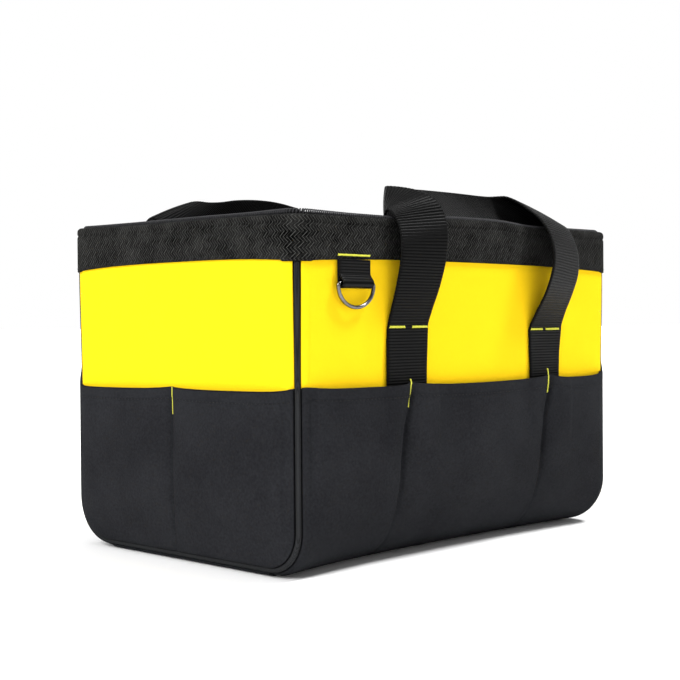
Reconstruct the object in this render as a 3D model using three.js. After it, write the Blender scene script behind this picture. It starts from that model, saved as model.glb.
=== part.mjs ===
// Wide mouth tool bag: a soft box of woven cloth with an open top, pockets round its lower half,
// a bound rim carrying a zip, two webbing handles and two metal D rings on short tabs.
// Millimetres. X runs along the long faces, the front face looks towards -Y, Z is up.
// The floor under the base is z = 0.
import * as THREE from 'three';

// Driving sizes of the bag.
const LENGTH = 328;
const DEPTH = 224;
const HEIGHT = 219;
const POCKET_TOP = 114;
const BAND_HEIGHT = 30.5;
const CORNER_ROUND = 10;
const RIM_ROUND = 11;
const RIM_FLARE = 1.5;
const RIM_LIFT = 3;

// Rounding under the walls: tighter at the front left foot than at the back left one, and
// widest and tallest half way along the front, where the cloth curls under.
const NEAR_FOOT = 27;
const FAR_FOOT = 32;
const MIDDLE_FOOT_REACH = 38;
const MIDDLE_FOOT_RISE = 64;

// Cloth and trim.
const WALL = 2.4;
const POCKET_CLOTH = 1.5;
const BASE_CLOTH = 2.0;
const BAND_CLOTH = 1.2;
const SEAM_GAP = 0.35;
const RIM_GAP = 0.3;
const FOLD_EASE = 0.5;
const PIPING_RADIUS = 2.0;
const COIL_RADIUS = 2.05;
const TAPE_CLOTH = 1.0;
const BAND_INNER_STEP = 4;
const TAPE_STEP = 8;
const WEBBING_WIDTH = 38;
const WEBBING_CLOTH = 1.8;

// Pocket fullness and the places of the sewn dividers on the front and on the left end.
const LEFT_POCKET_WIDTH = 94;
const RIGHT_POCKET_WIDTH = 84;
const END_DIVIDER = 2;
const FRONT_FULLNESS = 6.5;
const END_FULLNESS = 5.5;
const PADDING_EASE = 6;

// Handle legs on the front face, from the bag's left and right ends.
const LEFT_LEG_INSET = 97.2;
const RIGHT_LEG_INSET = 82.5;
const HANDLE_CAMBER = 3;

// D ring and its tab on the front face.
const RING_INSET = 46.5;
const RING_HANG = 12.5;
const RING_WIRE = 1.25;
const RING_HALF_WIDTH = 15.4;
const RING_DROP = 14.4;
const RING_BEND = 1.6;
const TAB_WIDTH = 27;
const TAB_CLOTH = 1.4;
const RING_PLAY = 0.4;
const TAB_SEAM_RISE = 6.5;
const TAB_THROAT_RISE = 2.4;

// Derived sizes: the outer face of the yellow cloth is the reference surface of the bag.
const BASE_RISE = BASE_CLOTH + SEAM_GAP;
const HALF_LENGTH = LENGTH / 2 - POCKET_CLOTH;
const HALF_DEPTH = DEPTH / 2 - POCKET_CLOTH;
const BAND_BOTTOM = HEIGHT - BAND_HEIGHT;
const FRONT_DIVIDERS = [LEFT_POCKET_WIDTH - LENGTH / 2, LENGTH / 2 - RIGHT_POCKET_WIDTH];
const LEFT_LEG = LEFT_LEG_INSET - LENGTH / 2;
const RIGHT_LEG = LENGTH / 2 - RIGHT_LEG_INSET;
const RING_PLACE = RING_INSET - LENGTH / 2;
const RING_BAR_Z = BAND_BOTTOM - RING_HANG;
const COIL_Z = HEIGHT - COIL_RADIUS;
const BAND_TOP = COIL_Z - COIL_RADIUS - RIM_GAP;
const CLOTH_TOP = BAND_TOP - BAND_CLOTH - FOLD_EASE;

// Share of an end panel's half width that is flat below; the rest goes round the foot.
const FLAT_SHARE = 0.6;

// Where the pockets start to stand off the wall, and over how much height, as shares of their top.
const FRONT_FULL_FROM = 0.21;
const FRONT_FULL_OVER = 0.41;
const END_FULL_FROM = 0.09;
const END_FULL_OVER = 0.32;
const LEG_FROM = 0.55;
const LEG_OVER = 0.2;

const QUARTER = Math.PI / 2;
const EIGHTH = Math.PI / 4;

// The bead lies half sunk between the panels, which stop short of it by a small gap.
const PIPING_RISE = 0.3;
const SEAM_SLOT = (PIPING_RADIUS + SEAM_GAP) / CORNER_ROUND;

const material = (name, color, roughness, metalness = 0) =>
  new THREE.MeshStandardMaterial({ name, color, roughness, metalness });

const YELLOW_CLOTH = material('yellow_cloth', '#f4e11c', 0.85);
const BLACK_CLOTH = material('black_cloth', '#2b2d2f', 0.9);
const BAND_WEAVE = material('band_weave', '#262627', 0.85);
const BLACK_WEBBING = material('black_webbing', '#232323', 0.8);
const BLACK_PIPING = material('black_piping', '#1b1b1c', 0.75);
const ZIP_COIL = material('zip_coil', '#48494b', 0.5);
const ZIP_TAPE = material('zip_tape', '#1c1c1d', 0.9);
const RING_STEEL = material('ring_steel', '#6e6f72', 0.3, 1);

const mix = (a, b, t) => a + (b - a) * t;
const clamp = (t, low, high) => Math.min(high, Math.max(low, t));
const smooth = (t) => {
  const s = clamp(t, 0, 1);
  return s * s * (3 - 2 * s);
};
const steps = (from, to, count) =>
  Array.from({ length: count + 1 }, (_, i) => mix(from, to, i / count));

// Turns a body inside out where its faces look inward, then gives it fresh normals.
function facingOut(geometry) {
  const position = geometry.attributes.position;
  const index = geometry.index.array;
  const a = new THREE.Vector3();
  const b = new THREE.Vector3();
  const c = new THREE.Vector3();
  let volume = 0;
  for (let i = 0; i < index.length; i += 3) {
    a.fromBufferAttribute(position, index[i]);
    b.fromBufferAttribute(position, index[i + 1]);
    c.fromBufferAttribute(position, index[i + 2]);
    volume += a.dot(b.cross(c));
  }
  if (volume < 0) {
    for (let i = 0; i < index.length; i += 3) {
      const first = index[i];
      index[i] = index[i + 1];
      index[i + 1] = first;
    }
  }
  geometry.computeVertexNormals();
  return geometry;
}

// A thin solid over a grid: place(column, row, side) gives a point, side 0 or 1 is the face.
function sheet(columns, rows, place) {
  const across = columns.length - 1;
  const along = rows.length - 1;
  const geometry = new THREE.BoxGeometry(1, 1, 1, across, along, 1);
  const position = geometry.attributes.position;
  for (let i = 0; i < position.count; i += 1) {
    const column = columns[Math.round((position.getX(i) + 0.5) * across)];
    const row = rows[Math.round((position.getY(i) + 0.5) * along)];
    const side = position.getZ(i) > 0 ? 1 : 0;
    const p = place(column, row, side);
    position.setXYZ(i, p.x, p.y, p.z);
  }
  return facingOut(geometry);
}

// A closed ring: place(station, corner) gives a point, both counted round and round.
function loop(stations, corners, place) {
  const geometry = new THREE.TorusGeometry(1, 0.4, corners, stations);
  const position = geometry.attributes.position;
  for (let i = 0; i < position.count; i += 1) {
    const station = (i % (stations + 1)) % stations;
    const corner = Math.floor(i / (stations + 1)) % corners;
    const p = place(station, corner);
    position.setXYZ(i, p.x, p.y, p.z);
  }
  return facingOut(geometry);
}

// A round bar along a list of centres, closed at both ends.
function bar(centres, frames, radius, sides) {
  const along = centres.length - 1;
  const geometry = new THREE.CylinderGeometry(1, 1, 1, sides, along);
  const position = geometry.attributes.position;
  for (let i = 0; i < position.count; i += 1) {
    const k = Math.round((position.getY(i) + 0.5) * along);
    const { out, side } = frames[k];
    const p = centres[k].clone();
    p.addScaledVector(out, position.getX(i) * radius);
    p.addScaledVector(side, position.getZ(i) * radius);
    position.setXYZ(i, p.x, p.y, p.z);
  }
  return facingOut(geometry);
}

// Plan rounding of the upright corners: tight low down, a little softer at the rim.
const abovePockets = (z) => smooth((z - POCKET_TOP) / (BAND_BOTTOM - POCKET_TOP));
const cornerRound = (z) => mix(CORNER_ROUND, RIM_ROUND, abovePockets(z));

// The walls lean out a little under the band.
const flare = (z) => RIM_FLARE * abovePockets(z);

// Rounding under a wall at a place along the length, as reach under the bag and rise up the
// wall. The bag looks the same after half a turn, so opposite feet are alike.
function footRound(x, side) {
  const share = clamp(x / HALF_LENGTH, -1, 1);
  const end = share * side > 0 ? NEAR_FOOT : FAR_FOOT;
  const weight = Math.abs(share) ** 2.5;
  return { reach: mix(MIDDLE_FOOT_REACH, end, weight), rise: mix(MIDDLE_FOOT_RISE, end, weight) };
}

// The U shaped outline seen from the end. reach runs 0 at the middle of the base, 1 at the
// start of the round, 2 at its end and 3 at the top of the wall; side is -1 front, 1 back.
function outline(side, reach, round, top) {
  if (reach >= 2) {
    const z = mix(BASE_RISE + round.rise, top, reach - 2);
    return { y: side * HALF_DEPTH, z, inY: -side, inZ: 0 };
  }
  if (reach >= 1) {
    const sine = Math.sin((reach - 1) * QUARTER);
    const cosine = Math.cos((reach - 1) * QUARTER);
    const y = side * (HALF_DEPTH - round.reach + round.reach * sine);
    const z = BASE_RISE + round.rise - round.rise * cosine;
    const slope = Math.hypot(sine / round.reach, cosine / round.rise);
    return {
      y, z, inY: (-side * sine) / round.reach / slope, inZ: cosine / round.rise / slope,
    };
  }
  return { y: side * reach * (HALF_DEPTH - round.reach), z: BASE_RISE, inY: 0, inZ: 1 };
}

// A point on the long strip that makes front, base and back. across is -1..1 over the flat,
// and beyond that turns into the upright corner as far as turn; rise is the distance outwards.
function wrapPoint(across, side, reach, top, turn, rise) {
  const flat = clamp(across, -1, 1);
  const line = outline(side, reach, footRound(flat * HALF_LENGTH, side), top);
  const round = cornerRound(line.z);
  const out = rise + flare(line.z);
  const angle = (Math.abs(across) - Math.abs(flat)) * turn;
  const x = flat * (HALF_LENGTH - round) + Math.sign(across) * (round + out) * Math.sin(angle);
  const depth = angle > 0 ? round - (round + out) * Math.cos(angle) : -out;
  return new THREE.Vector3(x, line.y + line.inY * depth, line.z + line.inZ * depth);
}

// How far in from the U shaped outline a point of an end panel lies, and the way inwards.
function endInset(y, z) {
  const foot = y < 0 ? NEAR_FOOT : FAR_FOOT;
  const middle = HALF_DEPTH - foot;
  const lift = BASE_RISE + foot;
  const side = y < 0 ? -1 : 1;
  const outY = Math.abs(y) - middle;
  const outZ = lift - z;
  if (outY > 0 && outZ > 0) {
    const reach = Math.hypot(outY, outZ);
    return { inset: foot - reach, inY: (-side * outY) / reach, inZ: outZ / reach };
  }
  if (outZ > 0 && outZ > lift - HALF_DEPTH + Math.abs(y)) {
    return { inset: z - BASE_RISE, inY: 0, inZ: 1 };
  }
  return { inset: HALF_DEPTH - Math.abs(y), inY: -side, inZ: 0 };
}

// A point on the left end panel. share is -1..1 across, height 0..1 from its lower edge to top;
// turn is the angle round the upright corner where the panel starts.
function endPoint(share, height, top, turn, rise) {
  const side = share < 0 ? -1 : 1;
  const foot = share < 0 ? NEAR_FOOT : FAR_FOOT;
  const flat = HALF_DEPTH - foot;
  const seamAt = (z) => cornerRound(z) * (1 - Math.cos(turn)) - flare(z) * Math.cos(turn);
  const reachAt = (z) => {
    const size = Math.abs(share);
    const bend = foot - seamAt(z);
    if (size < FLAT_SHARE) return (size / FLAT_SHARE) * flat;
    return flat + bend * Math.sin(((size - FLAT_SHARE) / (1 - FLAT_SHARE)) * QUARTER);
  };
  const bend = foot - seamAt(0);
  const low = Math.max(0, reachAt(0) - flat);
  const floor = BASE_RISE + foot - Math.sqrt(Math.max(0, bend * bend - low * low));
  const z = mix(floor, top, height);
  const y = side * reachAt(z);
  const { inset, inY, inZ } = endInset(y, z);
  const round = cornerRound(z) + flare(z);
  const cosine = clamp((round - inset - flare(z)) / round, 0, 1);
  const sine = Math.sqrt(1 - cosine * cosine);
  const x = HALF_LENGTH - cornerRound(z) + (round + rise) * sine;
  return new THREE.Vector3(-x, y - inY * rise * cosine, z - inZ * rise * cosine);
}

// Swell of a pocket between its seams: 0 at both seams, 1 over the middle.
const swell = (at, from, to) => {
  const share = clamp((at - from) / (to - from), 0, 1);
  return Math.sqrt(Math.max(0, 1 - Math.abs(2 * share - 1) ** 3));
};

function frontFullness(x, z) {
  const edge = HALF_LENGTH - CORNER_ROUND;
  const [first, second] = FRONT_DIVIDERS;
  const low = x < first ? -edge : x < second ? first : second;
  const high = x < first ? first : x < second ? second : edge;
  const drop = smooth((z / POCKET_TOP - FRONT_FULL_FROM) / FRONT_FULL_OVER);
  return FRONT_FULLNESS * swell(x, low, high) * drop;
}

function endFullness(y, z) {
  const edge = HALF_DEPTH - CORNER_ROUND;
  const low = y < END_DIVIDER ? -edge : END_DIVIDER;
  const high = y < END_DIVIDER ? END_DIVIDER : edge;
  const drop = smooth((z / POCKET_TOP - END_FULL_FROM) / END_FULL_OVER);
  return END_FULLNESS * swell(y, low, high) * drop;
}

// The pocket cloth stands off the wall where the webbing legs run down behind it.
function legPadding(x, z) {
  const near = Math.min(Math.abs(x - LEFT_LEG), Math.abs(x - RIGHT_LEG));
  const beside = 1 - smooth((near - WEBBING_WIDTH / 2 - WEBBING_CLOTH / 2) / PADDING_EASE);
  return (WEBBING_CLOTH + SEAM_GAP) * beside * smooth((z / POCKET_TOP - LEG_FROM) / LEG_OVER);
}

const meshes = [];
const add = (name, geometry, look) => {
  const mesh = new THREE.Mesh(geometry, look);
  mesh.name = name;
  meshes.push(mesh);
  return mesh;
};

// Front things turned half round make the back ones, left end things make the right ones.
const halfTurn = (geometry) => geometry.clone().rotateZ(Math.PI);

// Columns shared by every long piece, so that cloth over cloth keeps its gap where the rounding
// changes along the bag. They hold the dividers of the front and, mirrored, those of the back.
const [firstDivider, secondDivider] = FRONT_DIVIDERS.map((x) => x / (HALF_LENGTH - CORNER_ROUND));
const halfColumns = [0.1, 0.3, -firstDivider, secondDivider, 0.64, 0.78, 0.9, 1, 1.5, 2];
const longColumns = [...halfColumns.map((c) => -c).reverse(), ...halfColumns];

// Yellow wall of front, base and back.
const SEAM_TURN = EIGHTH - SEAM_SLOT;
const foldReach = steps(2, 1, 6);
const wrapReach = [...steps(3, 2, 4), ...foldReach.slice(1), 0.5];
const wrapRows = [...wrapReach.map((r) => [-1, r]), [1, 0], ...wrapReach.map((r) => [1, r]).reverse()];
add('body_wrap', sheet(longColumns, wrapRows, (across, [side, reach], face) =>
  wrapPoint(across, side, reach, CLOTH_TOP, SEAM_TURN, face ? 0 : -WALL)), YELLOW_CLOTH);

// Yellow end panels.
const endColumns = [
  ...steps(-1, -FLAT_SHARE, 5),
  ...steps(-FLAT_SHARE, FLAT_SHARE, 4).slice(1, -1),
  ...steps(FLAT_SHARE, 1, 5),
];
const endRows = [0, 0.012, 0.03, 0.055, 0.12, 0.22, 0.34, 0.5, 0.68, 0.84, 1];
const endPanel = sheet(endColumns, endRows, (share, height, face) =>
  endPoint(share, height, CLOTH_TOP, EIGHTH + SEAM_SLOT, face ? 0 : -WALL));
add('end_panel_left', endPanel, YELLOW_CLOTH);
add('end_panel_right', halfTurn(endPanel), YELLOW_CLOTH);

// Black pocket cloth on the front, running down and under to the edge of the base.
const pocketReach = [...steps(3, 2, 4), ...foldReach.slice(1)];
const frontPockets = sheet(longColumns, pocketReach, (across, reach, face) => {
  const x = clamp(across, -1, 1) * (HALF_LENGTH - CORNER_ROUND);
  const z = outline(-1, reach, footRound(x, -1), POCKET_TOP).z;
  const inner = SEAM_GAP + legPadding(x, z) + (Math.abs(across) > 1 ? 0 : frontFullness(x, z));
  return wrapPoint(across, -1, reach, POCKET_TOP, SEAM_TURN, face ? inner + POCKET_CLOTH : inner);
});
add('front_pockets', frontPockets, BLACK_CLOTH);
add('back_pockets', halfTurn(frontPockets), BLACK_CLOTH);

// Stiff black base under the bag, from the front pocket cloth to the back pocket cloth.
const baseRows = [[-1, 0.97], [-1, 0.5], [1, 0], [1, 0.5], [1, 0.97]];
add('base_panel', sheet(longColumns, baseRows, (across, [side, reach], face) =>
  wrapPoint(across, side, reach, CLOTH_TOP, SEAM_TURN, face ? BASE_RISE : SEAM_GAP)), BLACK_CLOTH);

// Black pocket cloth on the ends.
const dividerShare = (END_DIVIDER * FLAT_SHARE) / (HALF_DEPTH - FAR_FOOT);
const endPocketColumns = [
  ...steps(-1, -FLAT_SHARE, 5), -0.4, -0.2, -0.06, dividerShare, 0.1, 0.22, 0.4,
  ...steps(FLAT_SHARE, 1, 5),
];
const endPocketRows = [0, 0.03, 0.07, 0.13, 0.24, 0.36, 0.5, 0.66, 0.82, 1];
const endPockets = sheet(endPocketColumns, endPocketRows, (share, height, face) => {
  const bare = endPoint(share, height, POCKET_TOP, EIGHTH + SEAM_SLOT, 0);
  const inner = SEAM_GAP + endFullness(bare.y, bare.z);
  return endPoint(share, height, POCKET_TOP, EIGHTH + SEAM_SLOT, face ? inner + POCKET_CLOTH : inner);
});
add('end_pockets_left', endPockets, BLACK_CLOTH);
add('end_pockets_right', halfTurn(endPockets), BLACK_CLOTH);

// Piping bead down each upright corner and under the ends, in the seam.
const pipingHalf = [...steps(3, 2, 5), ...steps(2, 1, 8).slice(1), 0.5];
const pipingRows = [...pipingHalf.map((r) => [-1, r]), [1, 0], ...pipingHalf.map((r) => [1, r]).reverse()];
const pipingTop = BAND_BOTTOM - 2 * SEAM_GAP;
const pipingCentres = pipingRows.map(([side, reach]) =>
  wrapPoint(-2, side, reach, pipingTop, EIGHTH, PIPING_RISE));
const pipingFrames = pipingRows.map(([side, reach], k) => {
  const out = wrapPoint(-2, side, reach, pipingTop, EIGHTH, PIPING_RISE + 1).sub(pipingCentres[k]);
  const before = pipingCentres[Math.max(0, k - 1)];
  const after = pipingCentres[Math.min(pipingCentres.length - 1, k + 1)];
  const ahead = after.clone().sub(before).normalize();
  out.addScaledVector(ahead, -out.dot(ahead)).normalize();
  return { out, side: ahead.cross(out).normalize() };
});
const piping = bar(pipingCentres, pipingFrames, PIPING_RADIUS, 7);
add('piping_left', piping, BLACK_PIPING);
add('piping_right', halfTurn(piping), BLACK_PIPING);

// Stations round the rim: corner of the plan, with the outward direction.
const rimStations = [];
[[1, 1], [-1, 1], [-1, -1], [1, -1]].forEach(([sx, sy], quarter) => {
  steps(0, QUARTER, 5).forEach((angle) => {
    const turn = angle + quarter * QUARTER;
    const centre = [sx * (HALF_LENGTH - RIM_ROUND), sy * (HALF_DEPTH - RIM_ROUND)];
    rimStations.push({ centre, outX: Math.cos(turn), outY: Math.sin(turn) });
  });
  const pieces = sx === sy ? 4 : 3;
  const outX = Math.cos((quarter + 1) * QUARTER);
  const outY = Math.sin((quarter + 1) * QUARTER);
  const next = [[-1, 1], [-1, -1], [1, -1], [1, 1]][quarter];
  steps(0, 1, pieces).slice(1, -1).forEach((t) => {
    const centre = [
      mix(sx, next[0], t) * (HALF_LENGTH - RIM_ROUND),
      mix(sy, next[1], t) * (HALF_DEPTH - RIM_ROUND),
    ];
    rimStations.push({ centre, outX, outY });
  });
});
const rimPoint = (station, rise, z) => {
  const { centre, outX, outY } = rimStations[station];
  const reach = RIM_ROUND + RIM_FLARE + rise;
  const x = centre[0] + outX * reach;
  const y = centre[1] + outY * reach;
  const corner = Math.max(0, (-x * y) / (HALF_LENGTH * HALF_DEPTH)) ** 1.5;
  const lift = RIM_LIFT * corner * clamp((z - BAND_BOTTOM) / (HEIGHT - BAND_BOTTOM), 0, 1);
  return new THREE.Vector3(x, y, z + lift);
};
const rimRing = (section) => loop(rimStations.length, section.length, (station, corner) =>
  rimPoint(station, section[corner][0], section[corner][1]));

// Woven band folded over the top edge of the walls.
const bandIn = -WALL - SEAM_GAP;
const bandSection = [
  [SEAM_GAP, BAND_BOTTOM],
  [SEAM_GAP + BAND_CLOTH, BAND_BOTTOM],
  [SEAM_GAP + BAND_CLOTH, BAND_TOP - BAND_CLOTH],
  [SEAM_GAP, BAND_TOP],
  [bandIn, BAND_TOP],
  [bandIn - BAND_CLOTH, BAND_TOP - BAND_CLOTH],
  [bandIn - BAND_CLOTH, BAND_BOTTOM + BAND_INNER_STEP],
  [bandIn, BAND_BOTTOM + BAND_INNER_STEP],
  [bandIn, BAND_TOP - BAND_CLOTH],
  [SEAM_GAP, BAND_TOP - BAND_CLOTH],
];
add('top_band', rimRing(bandSection), BAND_WEAVE);

// Zip tape sewn inside the band, and the coil standing on the rim.
const tapeOut = bandIn - BAND_CLOTH - RIM_GAP;
add('zip_tape', rimRing([
  [tapeOut, BAND_BOTTOM + TAPE_STEP],
  [tapeOut, BAND_TOP],
  [tapeOut - TAPE_CLOTH, BAND_TOP],
  [tapeOut - TAPE_CLOTH, BAND_BOTTOM + TAPE_STEP],
]), ZIP_TAPE);
add('zip_coil', rimRing(steps(0, 1, 7).slice(0, -1).map((t) => [
  tapeOut + COIL_RADIUS * Math.cos(t * 4 * QUARTER),
  COIL_Z + COIL_RADIUS * Math.sin(t * 4 * QUARTER),
])), ZIP_COIL);

// Handle webbing, one row for each place along half a handle, from the sewn end to the grip.
// A row holds the outer edge, then the inner edge, each as across, out and up:
// across in webbing widths from the middle of the leg towards the grip,
// out in bag depths in front of the wall, up in bag heights.
const FRONT_HANDLE_LEFT = [
  [-0.51, 0.005, 0.447, 0.48, 0.005, 0.447],
  [-0.51, 0.005, 0.562, 0.49, 0.005, 0.562],
  [-0.50, 0.006, 0.677, 0.50, 0.006, 0.677],
  [-0.49, 0.018, 0.728, 0.51, 0.022, 0.728],
  [-0.49, 0.040, 0.802, 0.51, 0.054, 0.802],
  [-0.50, 0.058, 0.885, 0.50, 0.080, 0.885],
  [-0.51, 0.056, 0.949, 0.49, 0.087, 0.959],
  [-0.51, 0.038, 0.991, 0.49, 0.071, 1.015],
  [-0.51, 0.019, 1.006, 0.48, 0.031, 1.058],
  [-0.51, 0.002, 1.014, 0.48, -0.020, 1.081],
  [-0.48, -0.013, 1.013, 0.48, -0.083, 1.096],
  [-0.43, -0.027, 1.005, 0.48, -0.141, 1.104],
  [-0.35, -0.037, 0.993, 0.55, -0.155, 1.104],
  [-0.19, -0.043, 0.982, 0.70, -0.159, 1.103],
  [0.13, -0.045, 0.972, 0.94, -0.161, 1.105],
  [0.70, -0.045, 0.970, 1.26, -0.163, 1.106],
  [1.36, -0.045, 0.970, 1.55, -0.163, 1.107],
];
const FRONT_HANDLE_RIGHT = [
  [-0.45, 0.005, 0.447, 0.45, 0.005, 0.447],
  [-0.46, 0.005, 0.562, 0.46, 0.005, 0.562],
  [-0.51, 0.006, 0.668, 0.49, 0.006, 0.668],
  [-0.51, 0.022, 0.719, 0.49, 0.031, 0.719],
  [-0.51, 0.051, 0.783, 0.49, 0.071, 0.788],
  [-0.51, 0.074, 0.848, 0.49, 0.098, 0.866],
  [-0.51, 0.074, 0.912, 0.49, 0.100, 0.922],
  [-0.52, 0.058, 0.959, 0.50, 0.083, 0.977],
  [-0.53, 0.036, 0.993, 0.50, 0.045, 1.025],
  [-0.55, 0.013, 1.007, 0.50, 0.000, 1.058],
  [-0.57, -0.007, 1.014, 0.50, -0.045, 1.085],
  [-0.57, -0.023, 1.008, 0.50, -0.085, 1.101],
  [-0.50, -0.036, 0.995, 0.55, -0.109, 1.103],
  [-0.35, -0.043, 0.982, 0.65, -0.127, 1.103],
  [-0.07, -0.045, 0.972, 0.88, -0.143, 1.104],
  [0.54, -0.045, 0.970, 1.22, -0.154, 1.106],
  [1.25, -0.045, 0.970, 1.57, -0.159, 1.107],
];
const BACK_HANDLE_LEFT = [
  [-0.50, 0.005, 0.447, 0.50, 0.005, 0.447],
  [-0.50, 0.005, 0.562, 0.50, 0.005, 0.562],
  [-0.50, 0.006, 0.668, 0.50, 0.006, 0.668],
  [-0.50, 0.020, 0.724, 0.50, 0.025, 0.724],
  [-0.50, 0.042, 0.793, 0.50, 0.056, 0.797],
  [-0.50, 0.058, 0.866, 0.50, 0.083, 0.876],
  [-0.50, 0.058, 0.931, 0.50, 0.089, 0.945],
  [-0.50, 0.045, 0.977, 0.50, 0.076, 1.009],
  [-0.51, 0.027, 1.007, 0.49, 0.051, 1.060],
  [-0.51, 0.009, 1.023, 0.49, 0.025, 1.090],
  [-0.51, -0.009, 1.028, 0.48, 0.002, 1.108],
  [-0.48, -0.025, 1.021, 0.52, -0.020, 1.115],
  [-0.41, -0.036, 1.007, 0.60, -0.038, 1.115],
  [-0.24, -0.040, 0.988, 0.73, -0.049, 1.117],
  [0.07, -0.040, 0.970, 0.94, -0.058, 1.121],
  [0.60, -0.040, 0.960, 1.21, -0.065, 1.126],
  [1.18, -0.040, 0.959, 1.55, -0.068, 1.130],
];
const BACK_HANDLE_RIGHT = [
  [-0.50, 0.005, 0.447, 0.50, 0.005, 0.447],
  [-0.50, 0.005, 0.562, 0.50, 0.005, 0.562],
  [-0.50, 0.006, 0.668, 0.50, 0.006, 0.668],
  [-0.50, 0.020, 0.724, 0.50, 0.025, 0.724],
  [-0.50, 0.042, 0.793, 0.50, 0.058, 0.797],
  [-0.50, 0.058, 0.866, 0.50, 0.094, 0.876],
  [-0.49, 0.058, 0.931, 0.50, 0.100, 0.945],
  [-0.49, 0.045, 0.982, 0.50, 0.081, 1.009],
  [-0.47, 0.027, 1.016, 0.50, 0.047, 1.058],
  [-0.46, 0.009, 1.037, 0.50, 0.016, 1.088],
  [-0.45, -0.009, 1.046, 0.50, -0.013, 1.106],
  [-0.41, -0.025, 1.041, 0.57, -0.036, 1.111],
  [-0.32, -0.036, 1.023, 0.67, -0.049, 1.111],
  [-0.12, -0.040, 1.000, 0.83, -0.056, 1.111],
  [0.20, -0.040, 0.975, 1.09, -0.062, 1.115],
  [0.78, -0.040, 0.961, 1.43, -0.067, 1.124],
  [1.46, -0.040, 0.959, 1.91, -0.069, 1.130],
];
const handlePoint = (leg, way, across, out, up) => new THREE.Vector3(
  leg + way * across * WEBBING_WIDTH,
  -HALF_DEPTH - out * DEPTH,
  up * HEIGHT,
);
const edgeCurve = (left, right, at) => new THREE.CatmullRomCurve3([
  ...left.map((row) => handlePoint(LEFT_LEG, 1, ...row.slice(at, at + 3))),
  ...right.map((row) => handlePoint(RIGHT_LEG, -1, ...row.slice(at, at + 3))).reverse(),
], false, 'centripetal');

// A webbing handle over two tables. Round the folded corners the webbing is also cambered
// across its width, most where the fold is, and it never sinks into the wall it is sewn to.
const sewnDown = (z) => -HALF_DEPTH - flare(z) - SEAM_GAP - WEBBING_CLOTH / 2;
function handleSolid(left, right) {
  const outer = edgeCurve(left, right, 0);
  const inner = edgeCurve(left, right, 3);
  const last = left.length + right.length - 1;
  const flatMiddle = (along, share) => {
    const point = outer.getPoint(along).lerp(inner.getPoint(along), share);
    if (point.z < BAND_BOTTOM) point.y = Math.min(point.y, sewnDown(point.z));
    return point;
  };
  const inwards = (along, share) => {
    const step = 0.004;
    const ahead = flatMiddle(Math.min(1, along + step), share);
    ahead.sub(flatMiddle(Math.max(0, along - step), share));
    const width = flatMiddle(along, 1).sub(flatMiddle(along, 0));
    return ahead.cross(width).normalize();
  };
  return sheet(steps(0, 1, 3), steps(0, 1, 52), (share, along, face) => {
    const row = Math.min(along, 1 - along) * last;
    const fold = Math.sin(clamp((row - 6) / 8, 0, 1) * Math.PI);
    const camber = HANDLE_CAMBER * fold * 4 * share * (1 - share);
    const shift = (face ? 0.5 : -0.5) * WEBBING_CLOTH - camber;
    return flatMiddle(along, share).addScaledVector(inwards(along, share), shift);
  });
}
add('handle_front', handleSolid(FRONT_HANDLE_LEFT, FRONT_HANDLE_RIGHT), BLACK_WEBBING);
add('handle_back', halfTurn(handleSolid(BACK_HANDLE_LEFT, BACK_HANDLE_RIGHT)), BLACK_WEBBING);

// Tab: webbing folded round the straight bar of the D ring and sewn to itself above it.
const tabLoop = RING_WIRE + RING_PLAY;
const tabOuter = tabLoop + TAB_CLOTH;
const ringY = -HALF_DEPTH - RIM_FLARE - SEAM_GAP - tabOuter;
const tabTop = BAND_BOTTOM - SEAM_GAP - RING_BAR_Z;
const tabBack = tabOuter - 2 * TAB_CLOTH;
const circle = (radius, angles) => angles.map((angle) =>
  new THREE.Vector2(radius * Math.cos(angle), radius * Math.sin(angle)));
const tabShape = new THREE.Shape([
  new THREE.Vector2(tabBack, tabTop),
  new THREE.Vector2(tabBack, TAB_SEAM_RISE),
  new THREE.Vector2(-tabOuter * 0.9, TAB_THROAT_RISE),
  ...circle(tabOuter, steps(Math.PI, Math.PI * 2, 8)),
  new THREE.Vector2(tabOuter, tabTop),
]);
tabShape.holes.push(new THREE.Path(circle(tabLoop, steps(Math.PI * 2, 0, 12).slice(0, -1))));
const tabSolid = new THREE.ExtrudeGeometry(tabShape, {
  depth: TAB_WIDTH, bevelEnabled: false,
});
// The section is drawn with its first axis towards the wall and its second axis up.
tabSolid.applyMatrix4(new THREE.Matrix4().set(
  0, 0, 1, RING_PLACE - TAB_WIDTH / 2,
  1, 0, 0, ringY,
  0, 1, 0, RING_BAR_Z,
  0, 0, 0, 1,
));
tabSolid.computeVertexNormals();
add('ring_tab_front', tabSolid, BLACK_WEBBING);
add('ring_tab_back', halfTurn(tabSolid), BLACK_WEBBING);

// D ring: a straight bar with a bow below it, one closed round wire.
const ringPath = [];
steps(0, 1, 6).forEach((t) => {
  ringPath.push([mix(-1, 1, t) * (RING_HALF_WIDTH - RING_BEND), 0]);
});
steps(0, QUARTER, 3).slice(1).forEach((angle) => {
  ringPath.push([
    RING_HALF_WIDTH - RING_BEND + RING_BEND * Math.sin(angle),
    -RING_BEND + RING_BEND * Math.cos(angle),
  ]);
});
steps(0, Math.PI, 14).slice(1, -1).forEach((angle) => {
  ringPath.push([
    RING_HALF_WIDTH * Math.cos(angle),
    -RING_BEND - (RING_DROP - RING_BEND) * Math.sin(angle),
  ]);
});
steps(QUARTER, 0, 3).slice(0, -1).forEach((angle) => {
  ringPath.push([
    -RING_HALF_WIDTH + RING_BEND - RING_BEND * Math.sin(angle),
    -RING_BEND + RING_BEND * Math.cos(angle),
  ]);
});
const ringSides = 8;
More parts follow.
